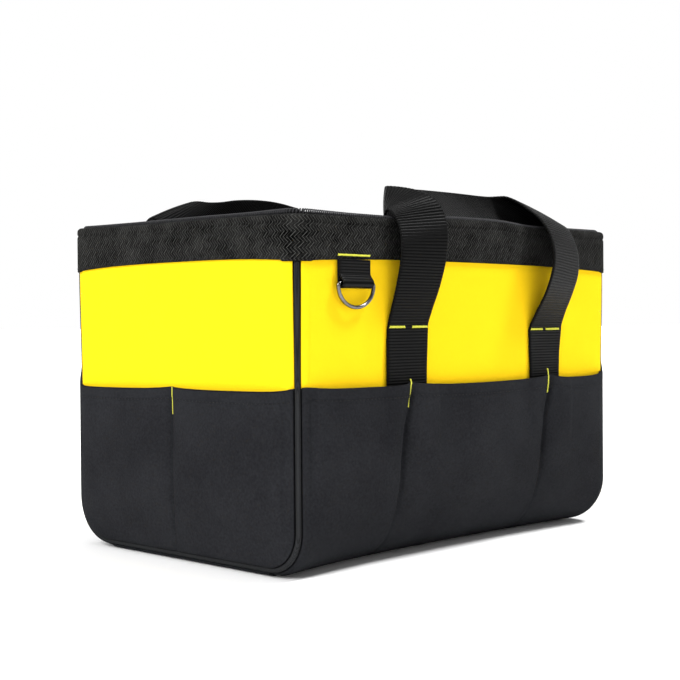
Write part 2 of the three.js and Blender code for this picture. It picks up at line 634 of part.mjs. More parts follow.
const ringSolid = loop(ringPath.length, ringSides, (station, corner) => {
  const count = ringPath.length;
  const before = ringPath[(station + count - 1) % count];
  const after = ringPath[(station + 1) % count];
  const ahead = new THREE.Vector2(after[0] - before[0], after[1] - before[1]).normalize();
  const angle = (corner / ringSides) * Math.PI * 2;
  const out = RING_WIRE * Math.cos(angle);
  const [x, z] = ringPath[station];
  return new THREE.Vector3(
    RING_PLACE + x - ahead.y * out,
    ringY + RING_WIRE * Math.sin(angle),
    RING_BAR_Z + z + ahead.x * out,
  );
});
add('d_ring_front', ringSolid, RING_STEEL);
add('d_ring_back', halfTurn(ringSolid), RING_STEEL);

const bag = new THREE.Group();
bag.name = 'wide_mouth_tool_bag';
bag.add(...meshes);

export default bag;
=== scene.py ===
"""Wide mouth tool bag: the looks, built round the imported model. Metres, +Z up, front face to -Y."""

import math

import bpy
import numpy as np
from mathutils import Matrix, Vector


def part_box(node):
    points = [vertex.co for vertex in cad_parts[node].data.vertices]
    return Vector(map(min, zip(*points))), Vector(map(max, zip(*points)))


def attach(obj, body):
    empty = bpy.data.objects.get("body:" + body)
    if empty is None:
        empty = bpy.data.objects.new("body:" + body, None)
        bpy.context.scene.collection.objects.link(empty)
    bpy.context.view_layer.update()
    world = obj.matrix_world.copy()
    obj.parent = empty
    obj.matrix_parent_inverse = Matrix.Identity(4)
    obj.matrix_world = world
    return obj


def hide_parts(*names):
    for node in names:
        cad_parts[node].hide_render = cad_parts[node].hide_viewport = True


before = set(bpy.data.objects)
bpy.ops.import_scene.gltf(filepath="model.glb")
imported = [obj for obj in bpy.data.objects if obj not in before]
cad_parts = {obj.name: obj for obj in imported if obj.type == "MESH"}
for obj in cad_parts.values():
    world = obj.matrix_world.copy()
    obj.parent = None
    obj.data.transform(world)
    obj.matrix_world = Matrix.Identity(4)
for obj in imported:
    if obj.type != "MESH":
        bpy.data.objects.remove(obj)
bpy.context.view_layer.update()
MM = 0.001

# Sizes read from the parts of the imported model.
wrap_low, wrap_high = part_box("body_wrap")
end_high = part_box("end_panel_right")[1]
pocket_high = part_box("end_pockets_right")[1]
band_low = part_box("top_band")[0]
ring_low, ring_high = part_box("d_ring_front")
tab_low, tab_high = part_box("ring_tab_front")

# Sizes of the bag's make, the same as the solids have.
RIM_FLARE = 1.5 * MM
CORNER_ROUND = 10 * MM
RIM_ROUND = 11 * MM
NEAR_FOOT = 27 * MM
FAR_FOOT = 32 * MM
MIDDLE_FOOT_REACH = 38 * MM
MIDDLE_FOOT_RISE = 64 * MM
WALL = 2.4 * MM
CLOTH = 1.2 * MM
POCKET_CLOTH = 1.5 * MM
SEAM_GAP = 0.35 * MM
BASE_CLOTH = 2.0 * MM
BAND_CLOTH = 1.2 * MM
TAPE_CLOTH = 1.0 * MM
PIPING_RADIUS = 2.0 * MM
PIPING_RISE = 0.3 * MM
BEAD_RADIUS = 1.75 * MM
COIL_RADIUS = 2.05 * MM
WEBBING_WIDTH = 38 * MM
WEBBING_CLOTH = 1.8 * MM
LEFT_LEG = -66.8 * MM
RIGHT_LEG = 81.5 * MM
FRONT_DIVIDERS = (-70 * MM, 80 * MM)
END_DIVIDER = 2 * MM
FRONT_FULLNESS = 6.3 * MM
END_FULLNESS = 5.3 * MM
DIVIDER_LEAN = 4 * MM
CREASE = 1.6 * MM
END_HEM_FALL = 1.4 * MM
HEM = 8 * MM
HEM_ZONE = 11 * MM
RING_WIRE = 1.25 * MM
TAB_CLOTH = 1.4 * MM

# Sizes of the looks, which the solids leave out.
HEM_THREAD = (3.4 * MM, 2.5 * MM, 0.26 * MM)
DIVIDER_THREAD = (3.2 * MM, 2.4 * MM, 0.25 * MM)
BAND_THREAD = (3.3 * MM, 2.4 * MM, 0.25 * MM)
BAND_THREAD_RISE = 2.2 * MM
HEM_FOLD = 0.45 * MM
HEM_DENT = 0.35 * MM
HEM_DENT_WIDTH = 0.7 * MM
HEM_SEAM = HEM - 0.6 * MM
EDGE_TUCK = 9 * MM
DIVIDER_DENT = 0.7 * MM
DIVIDER_DENT_WIDTH = 1.9 * MM
FRONT_HEM_DIP = 2.6 * MM
END_HEM_DIP = 1.6 * MM
BAND_GROOVE = 0.55 * MM
BAND_GROOVE_WIDTH = 0.7 * MM
BAND_FOLD_ZONE = 5 * MM
BAND_ARCH = 3.2 * MM
BAND_ARCH_FADE = 14 * MM
BINDING_DEPTH = 4.15 * MM
PIPING_SUNK = 1.3 * MM
LINING_GAP = 0.05 * MM
COIL_STANDS_UP = 1.0 * MM
COIL_RISE_ZONE = 34 * MM
FAR_RISE = 2.0 * MM
FAR_BAND_RISE = 1.2 * MM
END_SAG_RISE = 1.2 * MM
GRIP_RISE = 2.6 * MM
GRIP_PLACE = 8 * MM
GRIP_ZONE = 48 * MM
RIB = 1.95 * MM
RIB_HEIGHT = 0.22 * MM
HANDLE_CAMBER = 0.8 * MM
EDGE_GAP = 0.004
CORNER_GAP = 0.12
PANEL_DIVIDER = 0.78

# Handle webbing, one row for each place along half a handle, from the sewn end to the grip: the outer
# edge, then the inner edge, each as across in webbing widths, out in bag depths and up in bag heights.
FRONT_HANDLE_LEFT = (
    (-0.51, 0.005, 0.447, 0.48, 0.005, 0.447),
    (-0.51, 0.005, 0.562, 0.49, 0.005, 0.562),
    (-0.50, 0.006, 0.677, 0.50, 0.006, 0.677),
    (-0.49, 0.018, 0.728, 0.51, 0.022, 0.728),
    (-0.49, 0.040, 0.802, 0.51, 0.054, 0.802),
    (-0.50, 0.058, 0.885, 0.50, 0.080, 0.885),
    (-0.51, 0.056, 0.949, 0.49, 0.087, 0.959),
    (-0.51, 0.038, 0.991, 0.49, 0.071, 1.015),
    (-0.47, 0.019, 1.006, 0.48, 0.031, 1.058),
    (-0.42, 0.002, 1.014, 0.48, -0.020, 1.081),
    (-0.37, -0.013, 1.013, 0.48, -0.083, 1.096),
    (-0.31, -0.027, 1.005, 0.48, -0.141, 1.104),
    (-0.25, -0.037, 0.993, 0.55, -0.155, 1.104),
    (-0.19, -0.043, 0.982, 0.70, -0.159, 1.103),
    (0.13, -0.045, 0.972, 0.94, -0.161, 1.105),
    (0.70, -0.045, 0.970, 1.26, -0.163, 1.106),
    (1.36, -0.045, 0.970, 1.55, -0.163, 1.107),
)
FRONT_HANDLE_RIGHT = (
    (-0.45, 0.005, 0.447, 0.45, 0.005, 0.447),
    (-0.46, 0.005, 0.562, 0.46, 0.005, 0.562),
    (-0.51, 0.006, 0.668, 0.49, 0.006, 0.668),
    (-0.51, 0.022, 0.719, 0.49, 0.031, 0.719),
    (-0.51, 0.051, 0.783, 0.49, 0.071, 0.788),
    (-0.51, 0.074, 0.848, 0.49, 0.098, 0.866),
    (-0.51, 0.074, 0.912, 0.49, 0.100, 0.922),
    (-0.52, 0.058, 0.959, 0.50, 0.083, 0.977),
    (-0.53, 0.036, 0.993, 0.50, 0.045, 1.025),
    (-0.55, 0.013, 1.007, 0.50, 0.000, 1.058),
    (-0.57, -0.007, 1.014, 0.50, -0.045, 1.085),
    (-0.57, -0.023, 1.008, 0.50, -0.085, 1.101),
    (-0.50, -0.036, 0.995, 0.55, -0.109, 1.103),
    (-0.35, -0.043, 0.982, 0.65, -0.127, 1.103),
    (-0.07, -0.045, 0.972, 0.88, -0.143, 1.104),
    (0.54, -0.045, 0.970, 1.22, -0.154, 1.106),
    (1.25, -0.045, 0.970, 1.57, -0.159, 1.107),
)
BACK_HANDLE_LEFT = (
    (-0.50, 0.005, 0.447, 0.50, 0.005, 0.447),
    (-0.50, 0.005, 0.562, 0.50, 0.005, 0.562),
    (-0.50, 0.006, 0.668, 0.50, 0.006, 0.668),
    (-0.50, 0.020, 0.724, 0.50, 0.025, 0.724),
    (-0.50, 0.042, 0.793, 0.50, 0.056, 0.797),
    (-0.50, 0.058, 0.866, 0.50, 0.083, 0.876),
    (-0.50, 0.058, 0.931, 0.50, 0.089, 0.945),
    (-0.50, 0.045, 0.977, 0.50, 0.076, 1.009),
    (-0.51, 0.027, 1.007, 0.49, 0.051, 1.060),
    (-0.51, 0.009, 1.023, 0.49, 0.025, 1.090),
    (-0.51, -0.009, 1.028, 0.48, 0.002, 1.108),
    (-0.48, -0.025, 1.021, 0.52, -0.020, 1.115),
    (-0.41, -0.036, 1.007, 0.60, -0.038, 1.115),
    (-0.24, -0.040, 0.988, 0.73, -0.049, 1.117),
    (0.07, -0.040, 0.970, 0.94, -0.058, 1.121),
    (0.60, -0.040, 0.960, 1.21, -0.065, 1.126),
    (1.18, -0.040, 0.959, 1.55, -0.068, 1.130),
)
BACK_HANDLE_RIGHT = (
    (-0.50, 0.005, 0.447, 0.50, 0.005, 0.447),
    (-0.50, 0.005, 0.562, 0.50, 0.005, 0.562),
    (-0.50, 0.006, 0.668, 0.50, 0.006, 0.668),
    (-0.50, 0.020, 0.724, 0.50, 0.025, 0.724),
    (-0.50, 0.042, 0.793, 0.50, 0.058, 0.797),
    (-0.50, 0.058, 0.866, 0.50, 0.094, 0.876),
    (-0.49, 0.058, 0.931, 0.50, 0.100, 0.945),
    (-0.49, 0.045, 0.982, 0.50, 0.081, 1.009),
    (-0.47, 0.027, 1.016, 0.50, 0.047, 1.058),
    (-0.46, 0.009, 1.037, 0.50, 0.016, 1.088),
    (-0.45, -0.009, 1.046, 0.50, -0.013, 1.106),
    (-0.41, -0.025, 1.041, 0.57, -0.036, 1.111),
    (-0.32, -0.036, 1.023, 0.67, -0.049, 1.111),
    (-0.12, -0.040, 1.000, 0.83, -0.056, 1.111),
    (0.20, -0.040, 0.975, 1.09, -0.062, 1.115),
    (0.78, -0.040, 0.961, 1.43, -0.067, 1.124),
    (1.46, -0.040, 0.959, 1.91, -0.069, 1.130),
)

# Derived sizes. The outer face of the yellow cloth is the reference surface.
HALF_LENGTH = end_high.x - RIM_FLARE
HALF_DEPTH = wrap_high.y - RIM_FLARE
BASE_RISE = wrap_low.z
POCKET_TOP = pocket_high.z
CLOTH_TOP = wrap_high.z
BAND_BOTTOM = band_low.z
BAND_TOP = CLOTH_TOP + BAND_CLOTH + 2.2 * MM
COIL_Z = CLOTH_TOP + BAND_CLOTH + 0.8 * MM + COIL_RADIUS
HEIGHT = COIL_Z + COIL_RADIUS
DEPTH = 2 * (HALF_DEPTH + POCKET_CLOTH)
QUARTER = math.pi / 2
EIGHTH = math.pi / 4
SEAM_SLOT = (PIPING_RADIUS + SEAM_GAP) / CORNER_ROUND
SEAM_TURN = EIGHTH - SEAM_SLOT
SEAM_CLOSES = 0.025


def mix(a, b, t):
    return a + (b - a) * t


def smooth(t):
    t = np.clip(t, 0, 1)
    return t * t * (3 - 2 * t)


def unit(vectors):
    """Vectors made one long."""
    return vectors / np.linalg.norm(vectors, axis=-1)[..., None]


def square_to(ahead, vectors):
    """The part of each vector that is square to the way ahead, made one long."""
    return unit(vectors - ahead * np.einsum("ij,ij->i", vectors, ahead)[:, None])


def walked(line):
    """Length along a line of points, up to each of them."""
    return np.insert(np.cumsum(np.linalg.norm(np.diff(line, axis=0), axis=1)), 0, 0)


def read_off(at, run, values):
    """Rows of values, read off at places on their run."""
    return np.stack([np.interp(at, run, column) for column in np.transpose(values)], -1)


def above_pockets(z):
    return smooth((z - POCKET_TOP) / (BAND_BOTTOM - POCKET_TOP))


def corner_round(z):
    return mix(CORNER_ROUND, RIM_ROUND, above_pockets(z))


def flare(z):
    return RIM_FLARE * above_pockets(z)


def waves(x, z, half):
    """Soft unevenness of a hanging wall, a fraction of a millimetre deep, none at its corners."""
    slow = np.sin(x * 41 + 1.3 * np.sin(z * 37)) * np.sin(z * 29 + 0.8)
    fast = np.sin(x * 93 + z * 55 + 2.0) * np.sin(z * 71 - x * 24)
    held = smooth((half - CORNER_ROUND - np.abs(x)) / (24 * MM)) * smooth((z - 30 * MM) / (40 * MM))
    return (0.5 * slow + 0.22 * fast) * held * MM


def foot_round(x, side):
    """Rounding under a wall, as reach under the bag and rise up the wall."""
    share = np.clip(x / HALF_LENGTH, -1, 1)
    end = np.where(share * side > 0, NEAR_FOOT, FAR_FOOT)
    weight = np.abs(share) ** 2.5
    return mix(MIDDLE_FOOT_REACH, end, weight), mix(MIDDLE_FOOT_RISE, end, weight)


def outline(side, reach, foot, top):
    """The U shaped outline: y, z and the way inwards."""
    foot_reach, foot_rise = foot
    angle = np.clip(reach - 1, 0, 1) * QUARTER
    sine, cosine = np.sin(angle), np.cos(angle)
    z = BASE_RISE + foot_rise * (1 - cosine)
    z = np.where(reach > 2, mix(BASE_RISE + foot_rise, top, reach - 2), z)
    y = side * (HALF_DEPTH - foot_reach + foot_reach * sine)
    y = np.where(reach < 1, side * reach * (HALF_DEPTH - foot_reach), y)
    slope = np.hypot(sine / foot_reach, cosine / foot_rise)
    return y, z, -side * sine / foot_reach / slope, cosine / foot_rise / slope


def wrap_points(across, side, reach, top, turn, rise):
    """Points on the long strip that makes front, base and back, from arrays of places on it."""
    flat = np.clip(across, -1, 1)
    y, z, in_y, in_z = outline(side, reach, foot_round(flat * HALF_LENGTH, side), top)
    corner = corner_round(z)
    out = rise + flare(z) + waves(flat * HALF_LENGTH, z, HALF_LENGTH)
    angle = (np.abs(across) - np.abs(flat)) * turn
    x = flat * (HALF_LENGTH - corner) + np.sign(across) * (corner + out) * np.sin(angle)
    depth = np.where(angle > 0, corner - (corner + out) * np.cos(angle), -out)
    return np.stack([x + 0 * y, y + in_y * depth, z + in_z * depth], -1)


def end_inset(y, z):
    foot = np.where(y < 0, NEAR_FOOT, FAR_FOOT)
    side = np.where(y < 0, -1.0, 1.0)
    out_y = np.abs(y) - (HALF_DEPTH - foot)
    out_z = BASE_RISE + foot - z
    reach = np.maximum(np.hypot(out_y, out_z), 1e-9)
    round_part = (out_y > 0) & (out_z > 0)
    low_part = ~round_part & (out_z > 0) & (z - BASE_RISE < HALF_DEPTH - np.abs(y))
    inset = np.where(round_part, foot - reach, np.where(low_part, z - BASE_RISE, HALF_DEPTH - np.abs(y)))
    in_y = np.where(round_part, -side * out_y / reach, np.where(low_part, 0, -side))
    in_z = np.where(round_part, out_z / reach, np.where(low_part, 1, 0))
    return inset, in_y, in_z


def end_points(share, height, top, turn, rise, hem=0.0):
    """Points on the left end panel; share is -1..1 across, height 0..1 from its lower edge to its top,
    and above 1, up to 2, over the hem."""
    side = np.where(share < 0, -1.0, 1.0)
    size = np.abs(share)
    foot = np.where(share < 0, NEAR_FOOT, FAR_FOOT)
    flat = HALF_DEPTH - foot

    def reach_at(z):
        bend = foot - corner_round(z) * (1 - math.cos(turn)) + flare(z) * math.cos(turn)
        curved = flat + bend * np.sin((size - 0.6) / 0.4 * QUARTER)
        return np.where(size < 0.6, size / 0.6 * flat, curved)

    bend = foot - CORNER_ROUND * (1 - math.cos(turn))
    low = np.maximum(0, reach_at(0 * share) - flat)
    floor = BASE_RISE + foot - np.sqrt(np.maximum(0, bend**2 - low**2))
    z = mix(floor, top - hem, np.minimum(height, 1)) + hem * np.maximum(0, height - 1)
    y = side * reach_at(z)
    rise = rise + waves(y, z, HALF_DEPTH)
    inset, in_y, in_z = end_inset(y, z)
    corner = corner_round(z) + flare(z)
    cosine = np.clip((corner - inset - flare(z)) / corner, 0, 1)
    x = HALF_LENGTH - corner_round(z) + (corner + rise) * np.sqrt(1 - cosine**2)
    return np.stack([-x, y - in_y * rise * cosine, z - in_z * rise * cosine], -1)


def swell(at, low, high, steepness=0.42):
    share = np.clip((at - low) / (high - low), 0, 1)
    return np.maximum(0, 1 - np.abs(2 * share - 1) ** 3) ** steepness


def divider_at(place, z):
    """The dividers swing a little towards the left just below the pocket edge."""
    return place + DIVIDER_LEAN * (1 - 1.9 * smooth((POCKET_TOP - z) / (34 * MM)))


def front_bounds(x, z):
    edge = HALF_LENGTH - CORNER_ROUND
    first, second = (divider_at(place, z) for place in FRONT_DIVIDERS)
    low = np.where(x < first, -edge, np.where(x < second, first, second))
    high = np.where(x < first, first, np.where(x < second, second, edge))
    return low, high


def end_bounds(y):
    edge = HALF_DEPTH - CORNER_ROUND
    return np.where(y < END_DIVIDER, -edge, END_DIVIDER), np.where(y < END_DIVIDER, END_DIVIDER, edge)


def leg_padding(x, z):
    near = np.minimum(np.abs(x - LEFT_LEG), np.abs(x - RIGHT_LEG))
    beside = 1 - smooth((near - WEBBING_WIDTH / 2 - 1 * MM) / (6 * MM))
    return (WEBBING_CLOTH + SEAM_GAP) * beside * smooth((z - 62 * MM) / (22 * MM))


# Mesh making.


def shown(name, vertices, faces, uv=None, slot=None, material=None, node=None, body="bag", turn_it=False):
    """A mesh object from arrays, with the solid it stands for and the body it rides on.

    uv holds one pair for each vertex; turn_it gives the mesh half a turn round the upright axis."""
    vertices = half_turned(vertices) if turn_it else np.asarray(vertices, float)
    mesh = bpy.data.meshes.new(name)
    mesh.from_pydata(vertices.tolist(), [], [list(map(int, f)) for f in faces])
    if uv is not None:
        layer = mesh.uv_layers.new(name="cloth")
        corners = np.empty(len(mesh.loops), np.int32)
        mesh.loops.foreach_get("vertex_index", corners)
        layer.data.foreach_set("uv", np.asarray(uv, np.float32)[corners].ravel())
    mesh.validate()
    mesh.shade_smooth()
    piece = bpy.data.objects.new(name, mesh)
    bpy.context.scene.collection.objects.link(piece)
    mesh.materials.append(material)
    if node:
        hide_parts(node)
    if body:
        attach(piece, body)
    return piece


def run_lengths(points, axis):
    """Length along a grid of points in one direction, from its middle line."""
    step = np.linalg.norm(np.diff(points, axis=axis), axis=-1)
    total = np.cumsum(step, axis=axis)
    total = np.insert(total, 0, 0, axis=axis)
    middle = np.take(total, [total.shape[axis] // 2], axis=axis)
    return total - middle


def grid_faces(rows, columns, start, flip, wrap_rows=False):
    r = np.arange(rows if wrap_rows else rows - 1)
    c = np.arange(columns - 1)
    rr, cc = np.meshgrid(r, c, indexing="ij")
    a = start + rr * columns + cc
    b = start + (rr + 1) % rows * columns + cc
    quads = np.stack([a, a + 1, b + 1, b], -1).reshape(-1, 4)
    return quads[:, ::-1] if flip else quads


def sheet_arrays(outer, inner):
    """Vertices, faces and uv of a closed thin sheet between two grids of points."""
    rows, columns, _ = outer.shape
    vertices = np.concatenate([outer.reshape(-1, 3), inner.reshape(-1, 3)])
    uv = np.stack([run_lengths(outer, 1), run_lengths(outer, 0)], -1).reshape(-1, 2)
    uv = np.concatenate([uv, uv])
    count = rows * columns
    edge = [*range(columns - 1), *[(r + 1) * columns - 1 for r in range(rows - 1)],
            *range(count - 1, count - columns, -1), *[r * columns for r in range(rows - 1, 0, -1)]]
    edge = np.array(edge)
    after = np.roll(edge, -1)
    rim = np.stack([edge, edge + count, after + count, after], -1)
    faces = np.concatenate([grid_faces(rows, columns, 0, False), grid_faces(rows, columns, count, True), rim])
    return vertices, facing_out(vertices, faces), uv


def facing_out(vertices, faces):
    """The faces, turned over where they enclose a negative volume."""
    quads = np.asarray(faces)
    a, b, c, d = (vertices[quads[:, k]] for k in range(4))
    volume = np.einsum("ij,ij->i", a, np.cross(b, c)).sum() + np.einsum("ij,ij->i", a, np.cross(c, d)).sum()
    return quads[:, ::-1] if volume < 0 else quads


def tube_arrays(centres, out, side, radius_out, radius_side, sides, closed=False):
    """A tube along centres with its own two cross directions."""
    n = len(centres)
    angle = np.arange(sides) / sides * 2 * math.pi
    ring_out = np.cos(angle)[None, :, None] * np.reshape(radius_out, (-1, 1, 1))
    ring_side = np.sin(angle)[None, :, None] * np.reshape(radius_side, (-1, 1, 1))
    points = centres[:, None] + out[:, None] * ring_out + side[:, None] * ring_side
    vertices = points.reshape(-1, 3)
    faces = []
    last = n if closed else n - 1
    k = np.arange(sides)
    for i in range(last):
        a = i * sides + k
        b = (i + 1) % n * sides + k
        faces.append(np.stack([a, np.roll(a, -1), np.roll(b, -1), b], -1))
    faces = np.concatenate(faces)
    if closed:
        return vertices, facing_out(vertices, faces)
    caps = []
    for i, centre in ((0, centres[0]), (n - 1, centres[-1])):
        vertices = np.concatenate([vertices, [centre]])
        a = i * sides + k
        tip = np.full(sides, len(vertices) - 1)
        fan = np.stack([np.roll(a, -1), a, tip, tip], -1)
        caps.append(fan if i == 0 else fan[:, [1, 0, 2, 3]])
    faces = facing_out(vertices, np.concatenate([faces, *caps]))
    return vertices, [list(dict.fromkeys(f)) for f in faces.tolist()]


def joined(parts):
    """Several (vertices, faces) as one."""
    faces, start = [], 0
    for vertices, part_faces in parts:
        faces += [[int(i) + start for i in face] for face in part_faces]
        start += len(vertices)
    return np.concatenate([vertices for vertices, _ in parts]), faces


def half_turned(points):
    return np.asarray(points) * np.array([-1, -1, 1])


def spaced(low, high, step):
    return np.linspace(low, high, max(2, int(round((high - low) / step)) + 1))


def crowded(values, low_gap=EDGE_GAP, high_gap=EDGE_GAP):
    """The values with extra ones close to both ends, for a rounded edge there."""
    values = list(values)
    near = [values[0] + low_gap * share for share in (0.12, 0.4, 1)]
    far = [values[-1] - high_gap * share for share in (1, 0.4, 0.12)]
    return np.array([values[0], *near, *values[1:-1], *far, values[-1]])


def edge_share(points, axis, thickness):
    """Share of the half thickness that is left near both ends of a grid, so that a cut edge is rounded."""
    run = run_lengths(points, axis)
    low, high = np.take(run, [0], axis=axis), np.take(run, [-1], axis=axis)
    near = np.clip(np.minimum(run - low, high - run) / (thickness / 2), 0, 1)
    return np.maximum(0.25, np.sqrt(1 - (1 - near) ** 2))


def even(low, high):
    """The same rise of the inner and of the outer face all over a sheet."""
    return lambda u, v: (low + 0 * u, high + 0 * u)


def thin_sheet(surface, columns, rows, rises, thickness):
    """A sheet over (column, row) places. surface(column, row, rise) gives points, rises(column, row)
    the rise of the inner and the outer face."""
    u, v = np.meshgrid(columns, rows)
    inner, outer = rises(u, v)
    middle, half = (inner + outer) / 2, (outer - inner) / 2
    points = surface(u, v, middle)
    share = np.minimum(edge_share(points, 0, thickness), edge_share(points, 1, thickness))
    return sheet_arrays(surface(u, v, middle + half * share), surface(u, v, middle - half * share))


# Materials.


class Look:
    """A material with its node tree, and short ways to add nodes to it."""

    def __init__(self, name, roughness, **sockets):
        self.material = bpy.data.materials.new(name)
        self.material.use_nodes = True
        self.tree = self.material.node_tree
        self.shader = self.tree.nodes["Principled BSDF"]
        self.set("Roughness", roughness)
        for socket, value in sockets.items():
            self.set(socket.replace("_", " "), value)

    def set(self, socket, value):
        if isinstance(value, bpy.types.NodeSocket):
            self.tree.links.new(value, self.shader.inputs[socket])
        else:
            self.shader.inputs[socket].default_value = value

    def node(self, kind, inputs=(), **settings):
        made = self.tree.nodes.new("ShaderNode" + kind)
        for key, value in settings.items():
            setattr(made, key, value)
        for key, value in dict(inputs).items():
            if isinstance(value, bpy.types.NodeSocket):
                self.tree.links.new(value, made.inputs[key])
            else:
                made.inputs[key].default_value = value
        return made

    def math(self, operation, a, b=0.0, c=0.0):
        return self.node("Math", {0: a, 1: b, 2: c}, operation=operation).outputs[0]

    def cloth_places(self):
        """Lengths along and across the cloth, in metres, from its uv."""
        split = self.node("SeparateXYZ", {0: self.node("UVMap", uv_map="cloth").outputs[0]})
        return split.outputs[0], split.outputs[1]

    def noise(self, scale, detail=2.0):
        place = self.node("TexCoord").outputs["Object"]
        return self.node("TexNoise", {"Vector": place, "Scale": scale, "Detail": detail}).outputs[0]

    def wave(self, place, pitch):
        return self.math("SINE", self.math("MULTIPLY", place, math.pi / pitch))

    def thread(self, place, pitch):
        """Rounded threads side by side: 0 in the grooves, 1 on their crowns."""
        return self.math("ABSOLUTE", self.wave(place, pitch))

    def between(self, low, high, share):
        ramp = self.node("Mix", {0: share}, data_type="RGBA")
        ramp.inputs[6].default_value = (*low, 1)
        ramp.inputs[7].default_value = (*high, 1)
        return ramp.outputs[2]

    def bump(self, height, depth):
        self.set("Normal", self.node("Bump", {"Height": height, "Distance": depth}).outputs[0])

    def plain_weave(self, pitch):
        u, v = self.cloth_places()
        warp, weft = self.thread(u, pitch), self.thread(v, pitch)
        over = self.math("GREATER_THAN", self.math("MULTIPLY", self.wave(u, pitch), self.wave(v, pitch)), 0.0)
        up = self.math("MULTIPLY", warp, self.math("MULTIPLY_ADD", weft, 0.4, 0.6))
        down = self.math("MULTIPLY", weft, self.math("MULTIPLY_ADD", warp, 0.4, 0.6))
        return self.node("Mix", {0: over, 2: down, 3: up}).outputs[0]

    def chevrons(self, pitch, stripe):
        """Twill lines that turn over from one stripe along the cloth to the next."""
        u, v = self.cloth_places()
        turn = self.math("PINGPONG", v, stripe)
        twill = self.thread(self.math("ADD", u, turn), pitch)
        yarn = self.thread(self.math("SUBTRACT", v, u), pitch * 0.6)
        return self.math("MULTIPLY", twill, self.math("MULTIPLY_ADD", yarn, 0.45, 0.55))


def fabric(name, low, high, pitch, depth, stripe=0.0, mottle=0.25, contrast=1.0, specular=0.03,
           patches=22):
    """Woven cloth, plain or, with a stripe width, in herringbone."""
    look = Look(name, 0.85, Specular_IOR_Level=specular)
    height = look.chevrons(pitch, stripe) if stripe else look.plain_weave(pitch)
    slow, fine = look.noise(patches, 4), look.noise(620, 3)
    # The colour follows the weave: yarn crowns are painted lighter and the grooves between them darker, as
    # painted highlight and painted shade.
    share = look.math("MULTIPLY_ADD", look.math("POWER", height, contrast), 0.8, 0.1)
    for cloud in (slow, fine):
        share = look.math("MULTIPLY_ADD", look.math("SUBTRACT", cloud, 0.5), mottle, share)
    look.set("Base Color", look.between(low, high, share))
    look.bump(look.math("ADD", height, look.math("MULTIPLY", fine, 0.35)), depth)
    return look.material


def webbing(name, low, high, rib, depth):
    """Cross-ribbed webbing: its ribs are in the mesh, its yarns here; the rib crowns are painted as thin light
    lines, a painted highlight.
    """
    look = Look(name, 0.32, Specular_IOR_Level=0.04)
    u, v = look.cloth_places()
    ribs, yarns = look.thread(v, rib), look.thread(u, 0.9 * MM)
    fine = look.noise(1100, 2)
    height = look.math("MULTIPLY", look.math("POWER", ribs, 0.6), look.math("MULTIPLY_ADD", yarns, 0.3, 0.7))
    # Painted highlight: the rib crowns lighter than the near-black grooves.
    share = look.math("MULTIPLY", look.math("POWER", ribs, 2.4), look.math("MULTIPLY_ADD", fine, 0.8, 0.5))
    look.set("Base Color", look.between(low, high, share))
    look.bump(look.math("ADD", height, look.math("MULTIPLY", fine, 0.12)), depth)
    return look.material


def thread_look(name, low, high, specular=0.3):
    look = Look(name, 0.55, Specular_IOR_Level=specular)
    twist = look.noise(1500, 2)
    look.set("Base Color", look.between(low, high, twist))
    look.bump(twist, 0.1 * MM)
    return look.material


def nylon(name, low, high, roughness):
    look = Look(name, roughness, Specular_IOR_Level=0.25)
    cloudy = look.noise(260, 3)
    look.set("Base Color", look.between(low, high, cloudy))
    look.bump(cloudy, 0.03 * MM)
    return look.material


def plated_steel(name):
    look = Look(name, 0.24, Metallic=1.0)
    rubbed = look.noise(180, 4)
    look.set("Base Color", look.between((0.05, 0.048, 0.049), (0.24, 0.232, 0.235), rubbed))
    look.set("Roughness", look.math("MULTIPLY_ADD", rubbed, 0.2, 0.08))
    look.bump(look.noise(900, 3), 0.02 * MM)
    return look.material


# Where the yellow of the walls gives way to dark cloth, just below the pocket edge. The dark cloth under the
# pockets is painted shade: it keeps the slots beside the piping beads dark, with no yellow in them.
SPLIT_HEIGHT = POCKET_TOP - 3.2 * MM
CORNER_SPLIT_RISE = 3.3 * MM
WALL_SPLIT = 2.4
END_SPLIT = 0.44

# Cloth pieces. Rows of the long strip run from the front's top (-3) under the base (0) to the back's top (3).
WRAP_COLUMNS = np.concatenate([spaced(-2, -1, 0.2)[:-1], np.linspace(-1, 1, 91), spaced(1, 2, 0.2)[1:]])


def strip_rows(top_row, wall_count, foot_count, base_count):
    """Row places down one wall, round its foot, under the base and up again."""
    half = [*np.linspace(top_row, 2, wall_count), *np.linspace(2, 1, foot_count)[1:],
            *np.linspace(1, 0, base_count)[1:]]
    return np.array([*(-r for r in half), *half[-2::-1]])


def split_height(place, corner):
    """Height where the yellow ends: higher beyond the place where a wall's corner starts."""
    return SPLIT_HEIGHT + CORNER_SPLIT_RISE * smooth((np.abs(place) - corner) / 0.04)


def strip_surface(top, turn):
    """The long strip; its row WALL_SPLIT lies level at SPLIT_HEIGHT."""
    def surface(u, v, rise):
        side = np.where(v < 0, -1.0, 1.0)
        foot_top = BASE_RISE + foot_round(np.clip(u, -1, 1) * HALF_LENGTH, side)[1]
        level = (split_height(u, 1.0) - foot_top) / (top - foot_top)
        row, split = np.abs(v) - 2, WALL_SPLIT - 2
        bent = np.where(row < split, row / split * level, mix(level, 1, (row - split) / (1 - split)))
        return wrap_points(u, side, np.where(row < 0, row, bent) + 2, top, turn, rise)
    return surface


def wall_cloth(name, rows, slot, material):
    columns = crowded(WRAP_COLUMNS, CORNER_GAP, CORNER_GAP)
    parts = thin_sheet(strip_surface(CLOTH_TOP, SEAM_TURN + SEAM_CLOSES), columns, crowded(rows),
                       even(-CLOTH, 0), CLOTH)
    shown(name, *parts, slot, material, "body_wrap")


